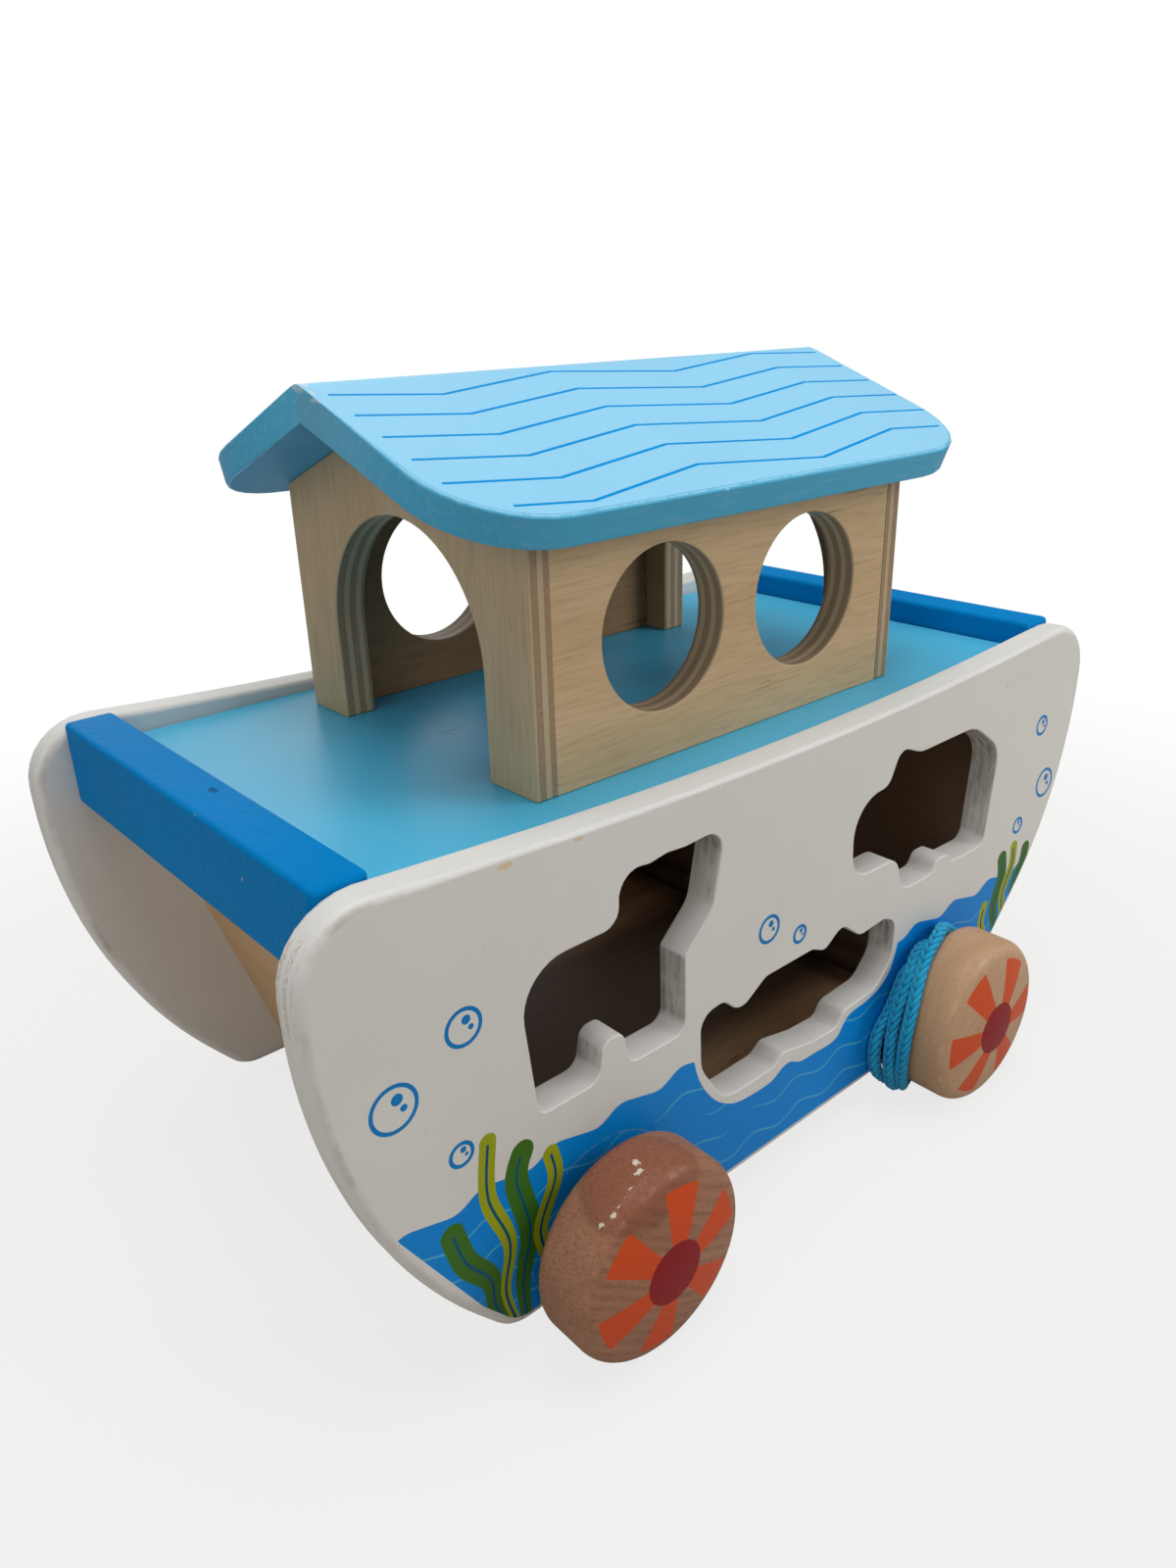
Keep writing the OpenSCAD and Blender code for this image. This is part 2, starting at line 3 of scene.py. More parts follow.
import bpy
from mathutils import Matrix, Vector
from mathutils.geometry import delaunay_2d_cdt


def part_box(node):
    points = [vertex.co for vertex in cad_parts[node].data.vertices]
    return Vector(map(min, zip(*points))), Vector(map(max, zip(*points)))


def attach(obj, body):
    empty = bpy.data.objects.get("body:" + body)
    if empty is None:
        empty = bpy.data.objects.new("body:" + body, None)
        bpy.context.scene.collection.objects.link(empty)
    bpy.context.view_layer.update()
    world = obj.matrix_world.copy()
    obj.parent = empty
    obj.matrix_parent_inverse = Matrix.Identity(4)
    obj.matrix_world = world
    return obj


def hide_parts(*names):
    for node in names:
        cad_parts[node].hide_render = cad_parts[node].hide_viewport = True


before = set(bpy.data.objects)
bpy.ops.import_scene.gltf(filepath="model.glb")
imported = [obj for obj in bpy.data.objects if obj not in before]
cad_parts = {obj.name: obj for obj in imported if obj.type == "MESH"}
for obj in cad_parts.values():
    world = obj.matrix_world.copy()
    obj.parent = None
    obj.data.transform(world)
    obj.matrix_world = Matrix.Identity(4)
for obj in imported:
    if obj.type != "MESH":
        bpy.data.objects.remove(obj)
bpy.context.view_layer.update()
scene = bpy.context.scene
scene.view_settings.view_transform = "Standard"
mm = 0.001

# Camera, fitted to the picture of 1200 x 1600 points
cameraView = {"spot": (-0.2157, -0.2390, 0.2343), "turn": (67.11, 1.566, -41.533), "lens": 26.17,
              "sensor": 36, "nearest": 0.01}


def makeCamera():
    data = bpy.data.cameras.new("camera")
    data.lens = cameraView["lens"]
    data.sensor_width = cameraView["sensor"]
    data.clip_start = cameraView["nearest"]
    camera = bpy.data.objects.new("camera", data)
    camera.location = cameraView["spot"]
    camera.rotation_euler = [math.radians(angle) for angle in cameraView["turn"]]
    scene.collection.objects.link(camera)
    scene.camera = camera


makeCamera()
print("camera placed")


# Builds the nodes of one shader tree; a value is a number, a tuple or another node's output
class Nodes:
    def __init__(self, tree, made=None):
        self.tree = tree
        self.made = made

    def feed(self, socket, value):
        if isinstance(value, bpy.types.NodeSocket):
            self.tree.links.new(value, socket)
        else:
            socket.default_value = value

    def put(self, kind, sockets=None, **settings):
        made = self.tree.nodes.new("ShaderNode" + kind)
        for name, value in settings.items():
            setattr(made, name, value)
        for name, value in (sockets or {}).items():
            self.feed(made.inputs[name], value)
        return made

    def group(self, tree, **sockets):
        return self.put("Group", sockets, node_tree=tree).outputs

    def calc(self, operation, *values):
        return self.put("Math", dict(enumerate(values)), operation=operation).outputs[0]

    def times(self, value, *others):
        for other in others:
            value = self.calc("MULTIPLY", value, other)
        return value

    def less(self, value, other):
        return self.calc("SUBTRACT", value, other)

    # value times factor, and more on top
    def scaled(self, value, factor, more):
        return self.calc("MULTIPLY_ADD", value, factor, more)

    def span(self, value, low, high, toLow=0.0, toHigh=1.0):
        ends = {"Value": value, "From Min": low, "From Max": high, "To Min": toLow, "To Max": toHigh}
        return self.put("MapRange", ends, interpolation_type="SMOOTHSTEP").outputs[0]

    # One colour over another, as far as the mask times the share lets it
    def mix(self, under, over, mask, share=None, how="MIX"):
        made = self.put("Mix", data_type="RGBA", blend_type=how)
        self.feed(made.inputs[0], mask if share is None else self.times(mask, share))
        for socket, colour in zip(made.inputs[6:8], (under, over)):
            self.feed(socket, (*colour, 1) if isinstance(colour, tuple) else colour)
        return made.outputs[2]

    # Colours one over another, each with its mask and share
    def coats(self, colour, *layers):
        for layer in layers:
            colour = self.mix(colour, *layer)
        return colour

    def noise(self, vector, scale, detail=2.0, rough=0.5, warp=0.0):
        return self.put("TexNoise", {"Vector": vector, "Scale": scale, "Detail": detail, "Roughness": rough,
                                     "Distortion": warp}).outputs[0]

    def stretch(self, vector, scale, turn=(0, 0, 0)):
        return self.put("Mapping", {"Vector": vector, "Scale": scale, "Rotation": turn}).outputs[0]

    def away(self, vector, middle):
        return self.put("VectorMath", {0: vector, 1: middle}, operation="SUBTRACT").outputs[0]

    def length(self, vector):
        return self.put("VectorMath", {0: vector}, operation="LENGTH").outputs["Value"]

    def parts(self, vector):
        return self.put("SeparateXYZ", {"Vector": vector}).outputs

    def place(self):
        return self.put("TexCoord").outputs["Object"]

    def normalParts(self):
        return self.parts(self.put("NewGeometry").outputs["Normal"])

    def read(self, name):
        return self.put("Attribute", attribute_name=name).outputs["Fac"]

    # Sockets of the material's shader
    def shade(self, sockets):
        for name, value in sockets.items():
            self.feed(self.tree.nodes["Principled BSDF"].inputs[name], value)

    # What the camera sees straight or through something clear
    def seen(self):
        path = self.put("LightPath").outputs
        return self.calc("MAXIMUM", path["Is Camera Ray"], path["Is Transmission Ray"])


def newGroup(name, inputs, outputs):
    tree = bpy.data.node_groups.new(name, "ShaderNodeTree")
    for label, kind, value in inputs:
        socket = tree.interface.new_socket(label, in_out="INPUT", socket_type="NodeSocket" + kind)
        if value is not None:
            socket.default_value = value
    for label in outputs:
        tree.interface.new_socket(label, in_out="OUTPUT", socket_type="NodeSocketFloat")
    return Nodes(tree), tree.nodes.new("NodeGroupInput").outputs, tree.nodes.new("NodeGroupOutput").inputs


# Paint film: fine orange peel, broad mottling and a few dust specks
def makePaintSkin():
    n, given, out = newGroup("paintSkin", [("Vector", "Vector", None), ("Peel", "Float", 900.0)],
                             ["Height", "Mottle", "Specks"])
    peel = n.noise(given["Vector"], given["Peel"], 2.0, 0.55)
    wash = n.noise(given["Vector"], 70.0, 3.0)
    n.feed(out["Height"], n.scaled(wash, 0.6, peel))
    n.feed(out["Mottle"], n.span(n.noise(given["Vector"], 26.0, 4.0, 0.6), 0.25, 0.75))
    dustAndShade = n.put("TexVoronoi", {"Vector": given["Vector"], "Scale": 95.0}).outputs["Distance"]
    n.feed(out["Specks"], n.span(dustAndShade, 0.035, 0.015))
    return n.tree


# Sawn wood: coordinates come with the grain along x
def makeWoodGrain():
    n, given, out = newGroup("woodGrain", [("Vector", "Vector", None), ("Flow", "Float", 1.0)],
                             ["Tone", "Fibre", "Pores", "Figure", "Dashes"])
    place = given["Vector"]
    flow = n.stretch(place, (0.14, 1, 1))
    n.feed(out["Tone"], n.span(n.noise(flow, 38.0, 3.0, 0.55, given["Flow"]), 0.3, 0.7))
    n.feed(out["Fibre"], n.noise(n.stretch(place, (0.05, 1, 1)), 1150.0, 3.0, 0.6))
    spots = n.noise(n.stretch(place, (0.16, 1, 1)), 620.0)
    n.feed(out["Pores"], n.times(n.span(spots, 0.63, 0.72), n.span(n.noise(place, 60.0), 0.42, 0.62)))
    rings = n.calc("SINE", n.times(n.noise(flow, 90.0, 2.0, 0.5, 0.6), 46.0))
    n.feed(out["Figure"], n.span(rings, -0.2, 1.0))
    n.feed(out["Dashes"], n.span(n.noise(n.stretch(place, (0.04, 1, 1)), 330.0), 0.705, 0.74))
    return n.tree


# Plywood seen on its edge: layers across the depth of a board
def makePlyEdge():
    n, given, out = newGroup("plyEdge", [("Depth", "Float", 0.0), ("Layers", "Float", 5.0),
                                         ("Vector", "Vector", None)],
                             ["Layer", "Glue", "Rough"])
    depth = n.scaled(n.noise(given["Vector"], 120.0), 0.035, given["Depth"])
    place = n.times(depth, given["Layers"])
    wave = n.calc("COSINE", n.times(place, math.pi))
    n.feed(out["Layer"], n.span(wave, 0.25, -0.25))
    joint = n.calc("PINGPONG", n.calc("ADD", place, 0.5), 0.5)
    n.feed(out["Glue"], n.span(joint, 0.09, 0.0))
    n.feed(out["Rough"], n.noise(given["Vector"], 1400.0, 2.0, 0.6))
    return n.tree


# Wear on the rounded edge of a board: bare patches and a line of grime beside the flat face
def makeEdgeScuff():
    n, given, out = newGroup("edgeScuff", [("Rim", "Float", 0.0), ("Vector", "Vector", None),
                                           ("Amount", "Float", 0.5)],
                             ["Wear", "Grime"])
    rim = given["Rim"]
    crest = n.calc("PINGPONG", n.times(rim, 2.0), 1.0)
    blotch = n.noise(given["Vector"], 240.0, 4.0, 0.65)
    bar = n.less(0.86, n.times(given["Amount"], 0.3))
    worn = n.span(n.scaled(crest, 0.18, blotch), bar, n.calc("ADD", bar, 0.05))
    n.feed(out["Wear"], n.times(worn, n.span(rim, 0.02, 0.2)))
    edge = n.times(n.span(rim, 0.02, 0.22), n.span(rim, 0.7, 0.3))
    dirt = n.noise(given["Vector"], 45.0, 4.0, 0.7)
    n.feed(out["Grime"], n.times(edge, n.span(dirt, 0.38, 0.68)))
    return n.tree


# A mark of given reach round a place, with a ragged outline
def makeSpotMark():
    n, given, out = newGroup("spotMark", [("Vector", "Vector", None), ("Middle", "Vector", None),
                                          ("Reach", "Vector", None), ("Ragged", "Float", 0.5),
                                          ("Grain", "Float", 500.0)], ["Mask"])
    away = n.away(given["Vector"], given["Middle"])
    share = n.put("VectorMath", {0: away, 1: given["Reach"]}, operation="DIVIDE").outputs[0]
    rough = n.noise(given["Vector"], given["Grain"], 3.0, 0.65)
    broken = n.times(n.less(rough, 0.5), n.times(given["Ragged"], 4.0))
    n.feed(out["Mask"], n.span(n.calc("ADD", n.length(share), broken), 1.0, 0.75))
    return n.tree


paintSkin = makePaintSkin()
woodGrain = makeWoodGrain()
plyEdge = makePlyEdge()
edgeScuff = makeEdgeScuff()
spotMark = makeSpotMark()
print("shader groups made")


def startMaterial(name, roughness, specular):
    made = bpy.data.materials.new(name)
    made.use_nodes = True
    n = Nodes(made.node_tree, made)
    n.shade({"Roughness": roughness, "Specular IOR Level": specular})
    return n


# Links colour, roughness where it varies, and bump
def finishMaterial(n, colour, rough, height, strength, distance):
    bump = n.put("Bump", {"Height": height, "Strength": strength, "Distance": distance}).outputs[0]
    n.shade({"Base Color": colour, "Normal": bump})
    if rough is not None:
        n.shade({"Roughness": rough})
    return n.made


def inMetres(values):
    return tuple(value * mm for value in values)


def markOn(n, place, middle, reach, ragged, grain):
    return n.group(spotMark, Vector=place, Middle=inMetres(middle), Reach=inMetres(reach), Ragged=ragged,
                   Grain=grain)["Mask"]


panelPeel = 1300.0                                   # grain of the paint film on the panels
# Layers of plywood on a cut edge
plyLayers = {"light": (0.54, 0.40, 0.235), "dark": (0.37, 0.245, 0.14), "glue": (0.17, 0.10, 0.06)}


# White paint of the side panels, with ply layers and router marks under it on the edges
whiteLook = {
    "paint": (0.775, 0.762, 0.725), "shade": (0.75, 0.735, 0.695), "bore": (0.52, 0.49, 0.46),
    "boreDark": (0.22, 0.185, 0.165), "grime": (0.33, 0.27, 0.24), "scuff": (0.45, 0.38, 0.30),
    # bare: bare wood of the hull's inside, darkened with painted shade
    "stain": (0.74, 0.52, 0.16), "bare": (0.15, 0.09, 0.05),
    # where the boards inside the hull are left bare: between the end panels, under the deck
    "bareTop": 121.0, "bowTop": 111.2, "bowLean": 0.358, "sternTop": -111.4, "sternLean": 0.315,
    "scuffMiddle": (-139.0, -71.0, 120.0), "scuffReach": (9.0, 7.0, 13.0), "grimeFrom": -112.0,
    "grimeTo": -134.0,
}
# Places of the marks on the white paint: middle and reach in millimetres, and colour
panelMarks = [
    ((-95.8, -74.2, 131.4), (2.2, 2.0, 0.7), "stain"),
    ((-76.4, -74.2, 130.9), (1.3, 2.0, 0.5), "stain"),
    ((-91.0, -74.5, 100.4), (0.35, 1.0, 0.6), "grime"),
    ((96.0, -74.5, 124.0), (0.3, 1.0, 0.5), "grime"),
]


def makeWhitePaint():
    look = whiteLook
    n = startMaterial("whitePaint", 0.42, 0.3)
    place = n.place()
    parts = n.parts(place)
    rim, bore, depth = n.read("rim"), n.read("bore"), n.read("depth")
    skin = n.group(paintSkin, Vector=place, Peel=panelPeel)
    layers = n.group(plyEdge, Depth=depth, Layers=7.0, Vector=place)
    scuff = n.group(edgeScuff, Rim=rim, Vector=place, Amount=0.2)
    onEdge = n.span(rim, 0.4, 1.0)
    colour = n.coats(look["shade"], (look["paint"], skin["Mottle"]), (look["grime"], skin["Specks"], 0.25),
                     (look["boreDark"], n.times(layers["Glue"], onEdge), 0.16))
    # thin paint with router streaks in the cut-outs, and painted shade: darker grey on their side and under
    # faces, least on upward faces
    streak = n.noise(n.stretch(place, (1, 1.2, 0.16)), 700.0, 4.0, 0.75)
    routed = n.coats(look["bore"], (look["boreDark"], n.span(streak, 0.36, 0.62)),
                     (look["shade"], layers["Layer"], 0.3))
    thinPaintAndShade = n.span(n.scaled(n.noise(place, 70.0, 3.0, 0.6), 1.1, n.normalParts()["Z"]), 1.05, 0.45)
    colour = n.mix(colour, routed, n.times(bore, thinPaintAndShade, n.span(rim, 0.35, 0.95)), 0.85)
    # scuffed stern corner, grime round the stern and single marks
    corner = markOn(n, place, look["scuffMiddle"], look["scuffReach"], 0.25, 90.0)
    stipple = n.span(n.noise(n.stretch(place, (1, 1.6, 1)), 1100.0, 3.0, 0.7), 0.46, 0.62)
    colour = n.mix(colour, look["scuff"], n.times(stipple, layers["Layer"], onEdge, corner), 0.85)
    stern = n.span(parts["X"], look["grimeFrom"] * mm, look["grimeTo"] * mm, 0.12, 0.6)
    colour = n.mix(colour, look["grime"], scuff["Grime"], stern)
    for middle, reach, kind in panelMarks:
        colour = n.mix(colour, look[kind], markOn(n, place, middle, reach, 0.6, 900.0), 0.6)
    # bare wood on the inner face, between the end panels and under the deck, darkened with painted shade
    below = n.less(look["bareTop"] * mm, parts["Z"])
    ahead = n.less(n.scaled(below, -look["bowLean"], look["bowTop"] * mm), parts["X"])
    behind = n.less(parts["X"], n.scaled(below, look["sternLean"], look["sternTop"] * mm))
    within = n.calc("MINIMUM", n.calc("MINIMUM", ahead, behind), below)
    bareInShade = n.times(n.span(within, -0.0003, 0.0003), n.span(depth, 0.93, 0.99))
    grain = n.group(woodGrain, Vector=place, Flow=1.0)
    colour = n.mix(colour, n.mix(look["bare"], plyLayers["glue"], grain["Fibre"], 0.5), bareInShade)
    rough = n.scaled(bore, 0.25, n.scaled(skin["Mottle"], 0.08, 0.38))
    height = n.scaled(n.times(layers["Layer"], onEdge), 0.4, skin["Height"])
    height = n.scaled(n.times(bore, streak), 2.0, height)
    return finishMaterial(n, colour, rough, height, 0.16, 0.0004)


# Printed inks on the panels follow the same paint film; the sea ink carries a pale ring rubbed by the wheel
inkLooks = {
    "seaInk": {"ink": (0.001, 0.265, 0.76), "deep": (0.001, 0.24, 0.70)},
    "waveInk": {"ink": (0.10, 0.46, 0.70), "deep": (0.06, 0.40, 0.66)},
    "bubbleInk": {"ink": (0.003, 0.23, 0.60), "deep": (0.002, 0.20, 0.55)},
    "deepGrassInk": {"ink": (0.055, 0.185, 0.02), "deep": (0.045, 0.155, 0.015)},
    "limeGrassInk": {"ink": (0.40, 0.44, 0.015), "deep": (0.34, 0.38, 0.01)},
    "ribInk": {"ink": (0.004, 0.11, 0.20), "deep": (0.003, 0.09, 0.16)},
}
rubRing = {"middle": (-72.4, -74.5, 26.4), "radius": 23.0, "wide": 0.3, "colour": (0.22, 0.40, 0.58)}


def makeInk(name):
    look = inkLooks[name]
    n = startMaterial(name, 0.4, 0.15)
    place = n.place()
    skin = n.group(paintSkin, Vector=place, Peel=panelPeel)
    colour = n.coats(look["deep"], (look["ink"], skin["Mottle"]),
                     (whiteLook["shade"], skin["Specks"], 0.12))
    if name == "seaInk":
        far = n.length(n.away(place, inMetres(rubRing["middle"])))
        off = n.calc("ABSOLUTE", n.less(far, rubRing["radius"] * mm))
        ring = n.span(off, rubRing["wide"] * mm, 0.1 * rubRing["wide"] * mm)
        dashes = n.span(n.noise(place, 800.0, 3.0, 0.7), 0.46, 0.58)
        colour = n.mix(colour, rubRing["colour"], n.times(ring, dashes), 0.8)
    return finishMaterial(n, colour, n.scaled(skin["Mottle"], 0.1, 0.34), skin["Height"], 0.18, 0.0003)


# Coloured paints on wood: bars, deck and roof
paintLooks = {
    "barPaint": {"paint": (0.0005, 0.225, 0.58), "shade": (0.0005, 0.20, 0.525), "bare": (0.55, 0.44, 0.28),
                 "scuff": (0.002, 0.08, 0.2), "peel": 620.0, "bump": 0.5, "rough": 0.46, "wear": 0.0,
                 "shine": 0.02},
    "deckPaint": {"paint": (0.085, 0.52, 0.78), "shade": (0.078, 0.50, 0.76), "bare": (0.03, 0.16, 0.24),
                  "peel": 900.0, "bump": 0.07, "rough": 0.36, "wear": 0.0, "shine": 0.33},
    "roofPaint": {"paint": (0.31, 0.665, 0.90), "shade": (0.30, 0.65, 0.89), "bare": (0.60, 0.72, 0.74),
                  "peel": 1000.0, "bump": 0.12, "rough": 0.42, "wear": 0.0, "shine": 0.12},
    "roofEdgePaint": {"paint": (0.085, 0.43, 0.66), "shade": (0.075, 0.40, 0.62),
                      "bare": (0.42, 0.62, 0.70), "peel": 800.0, "bump": 0.22, "rough": 0.45, "wear": 0.12,
                      "shine": 0.15},
    "roofLinePaint": {"paint": (0.0005, 0.30, 0.73), "shade": (0.0005, 0.28, 0.69),
                      "bare": (0.30, 0.60, 0.85), "peel": 1000.0, "bump": 0.12, "rough": 0.45, "wear": 0.0,
                      "shine": 0.03},
}
specksColour = (0.03, 0.06, 0.09)
# Marks on the coloured paints: middle and reach in millimetres, and colour
paintMarks = {
    "barPaint": [((-134.0, -15.7, 136.2), (0.5, 0.6, 0.35), "bare"),
                 ((-134.0, -36.3, 128.3), (0.5, 0.3, 0.6), "bare"),
                 ((-129.5, 14.0, 136.6), (0.5, 0.3, 0.5), "scuff"),
                 ((-125.5, -7.0, 136.6), (1.0, 1.9, 0.5), "scuff")],
    "deckPaint": [((-53.9, 4.0, 129.0), (4.6, 0.4, 1.0), "bare"),
                  ((-55.8, 2.2, 129.0), (1.5, 0.25, 1.0), "bare")],
    "roofPaint": [((-88.4, -1.0, 219.8), (1.0, 2.6, 1.2), "bare"),
                  ((-88.8, -5.5, 218.2), (0.6, 1.8, 0.9), "bare")],
    "roofEdgePaint": [((-89.4, -1.0, 219.0), (1.0, 3.2, 1.3), "bare"),
                      ((-89.4, -8.0, 216.6), (0.7, 3.2, 0.6), "bare"),
                      ((-20.0, -63.6, 195.0), (0.6, 1.0, 0.4), "bare")],
    "roofLinePaint": [],
}


def makePaint(name):
    look = paintLooks[name]
    n = startMaterial(name, look["rough"], look["shine"])
    place = n.place()
    rim = n.read("rim")
    skin = n.group(paintSkin, Vector=place, Peel=look["peel"])
    scuff = n.group(edgeScuff, Rim=rim, Vector=place, Amount=look["wear"])
    colour = n.coats(look["shade"], (look["paint"], skin["Mottle"]), (specksColour, skin["Specks"], 0.18),
                     (look["bare"], scuff["Wear"], 0.8))
    if name == "roofEdgePaint":                      # pale along the upper edge, with fibres below
        pale = n.times(n.span(rim, 0.02, 0.2), n.span(rim, 0.62, 0.3))
        frayed = n.span(n.noise(place, 300.0, 3.0, 0.6), 0.35, 0.55, 0.45, 0.9)
        colour = n.mix(colour, paintLooks["roofPaint"]["paint"], pale, frayed)
        fibre = n.noise(n.stretch(place, (0.08, 1, 1)), 900.0, 3.0, 0.6)
        colour = n.mix(colour, look["bare"], n.span(fibre, 0.5, 0.75, 0.0, 0.2))
    for middle, reach, kind in paintMarks[name]:
        colour = n.mix(colour, look[kind], markOn(n, place, middle, reach, 0.5, 1100.0), 0.8)
    rough = n.scaled(skin["Mottle"], 0.12, look["rough"] - 0.06)
    return finishMaterial(n, colour, rough, skin["Height"], look["bump"], 0.0005)


# Plywood of the house and the hull's inner boards: face grain, layers on the edges
plyLooks = {
    "gablePly": {"pale": (0.65, 0.46, 0.26), "warm": (0.59, 0.40, 0.215), "fibre": (0.38, 0.255, 0.14),
                 "turn": (0, math.pi / 2, 0), "flow": 0.7, "dashes": 0.12},
    "wallPly": {"pale": (0.685, 0.48, 0.27), "warm": (0.62, 0.425, 0.225), "fibre": (0.37, 0.225, 0.11),
                "turn": (0, 0, 0), "flow": 1.2, "dashes": 0.55},
    # dustAndShade: painted shade for the end panels' inner faces and the hull floor
    "endPly": {"pale": (0.64, 0.42, 0.225), "warm": (0.58, 0.365, 0.185), "fibre": (0.42, 0.25, 0.12),
               "turn": (0, 0, math.pi / 2), "flow": 0.8, "dashes": 0.1, "dustAndShade": (0.10, 0.06, 0.035)},
    "floorPly": {"pale": (0.66, 0.43, 0.25), "warm": (0.60, 0.375, 0.205), "fibre": (0.25, 0.14, 0.07),
                 "turn": (0, 0, 0), "flow": 1.0, "dashes": 0.2, "dustAndShade": (0.07, 0.04, 0.022)},
}


def makePly(name):
    look = plyLooks[name]
    n = startMaterial(name, 0.5, 0.4)
    place = n.place()
    depth = n.read("depth")
    grain = n.group(woodGrain, Vector=n.stretch(place, (1, 1, 1), look["turn"]), Flow=look["flow"])
    fibre, glue = look["fibre"], plyLayers["glue"]
    face = n.coats(look["warm"], (look["pale"], grain["Tone"]), (fibre, grain["Figure"], 0.07),
                   (fibre, n.span(grain["Fibre"], 0.42, 0.7), 0.34), (fibre, grain["Pores"], 0.45),
                   (glue, grain["Dashes"], look["dashes"]))
    layers = n.group(plyEdge, Depth=depth, Layers=5.0, Vector=place)
    pits = n.times(n.span(layers["Rough"], 0.52, 0.72), layers["Layer"])
    edge = n.coats(plyLayers["light"], (plyLayers["dark"], layers["Layer"]), (glue, pits, 0.5),
                   (glue, layers["Glue"], 0.5))
    onEdge = n.span(n.read("rim"), 0.25, 0.7)
    colour = n.mix(face, edge, onEdge)
    if name in ("wallPly", "gablePly"):              # painted shade inside the house: the inner faces are darkened
        colour = n.mix(colour, fibre, n.span(depth, 0.97, 0.995), 0.75, "MULTIPLY")
    if name == "endPly":                             # painted shade: the inner faces of the end panels are darkened
        toEnd = n.times(n.normalParts()["X"], n.calc("SIGN", n.parts(place)["X"]))
        colour = n.mix(colour, look["dustAndShade"], n.span(toEnd, -0.2, -0.6), 0.85)
    if name == "floorPly":                           # painted shade: the floor darkens away from the lower cut-outs
        aside = n.calc("ABSOLUTE", n.parts(place)["Y"])
        colour = n.mix(colour, look["dustAndShade"], n.span(aside, 0.048, 0.028, 0.0, 0.92))
    height = n.scaled(grain["Pores"], -0.8, grain["Fibre"])
    height = n.scaled(n.times(layers["Layer"], onEdge), -0.9, height)
    return finishMaterial(n, colour, n.scaled(grain["Fibre"], 0.2, 0.38), height, 0.3, 0.0003)


# Turned wheels: plank grain across the face, painted rays and hub disc on the outer face
wheelLook = {
    "hub": (0.265, 0.005, 0.011), "ray": (0.66, 0.07, 0.01), "scratch": (0.74, 0.68, 0.57),
    "rowTurn": 2100.0, "hubRadius": 8.4, "rayEnd": 22.0, "rays": 6, "rayWide": 12.3, "rayFlare": 50.3,
    "soft": 0.12,
}
wheelWoods = {
    "rear_wheel_near": {"pale": (0.415, 0.208, 0.124), "warm": (0.34, 0.156, 0.09),
                        "dark": (0.16, 0.06, 0.034), "crest": (0.46, 0.26, 0.17), "grainTurn": -33,
                        "rows": 0.3, "stipple": 0.45, "rayAt": 18.0,
                        "heart": {"middle": (-77.0, -93.0, 56.0), "reach": (20.0, 16.0, 14.0),
                                  "colour": (0.275, 0.098, 0.058)},
                        "scratches": [((-74.1, -88.3, 52.6), (0.9, 1.0, 0.6)),
                                      ((-75.6, -90.7, 52.6), (1.5, 0.7, 0.6)),
                                      ((-86.1, -93.6, 48.5), (1.4, 0.6, 0.5)),
                                      ((-88.7, -92.6, 46.8), (0.9, 0.6, 0.5)),
                                      ((-79.5, -92.4, 51.5), (1.0, 0.4, 0.3)),
                                      ((-81.6, -92.8, 50.6), (0.8, 0.4, 0.3)),
                                      ((-83.6, -93.2, 49.6), (1.0, 0.4, 0.3))]},
    "front_wheel_near": {"pale": (0.575, 0.37, 0.225), "warm": (0.51, 0.31, 0.18),
                         "dark": (0.34, 0.18, 0.095), "crest": (0.66, 0.46, 0.30), "grainTurn": 48,
                         "rows": 0.1, "stipple": 0.2, "rayAt": 1.5},
    "rear_wheel_far": {"pale": (0.60, 0.41, 0.26), "warm": (0.52, 0.33, 0.19), "dark": (0.33, 0.18, 0.09),
                       "crest": (0.66, 0.47, 0.31), "grainTurn": 100, "rows": 0.12, "stipple": 0.2,
                       "rayAt": 30.0},
    "front_wheel_far": {"pale": (0.58, 0.38, 0.235), "warm": (0.50, 0.30, 0.17), "dark": (0.30, 0.15, 0.08),
                        "crest": (0.64, 0.45, 0.29), "grainTurn": -25, "rows": 0.15, "stipple": 0.25,
                        "rayAt": 44.0},
}


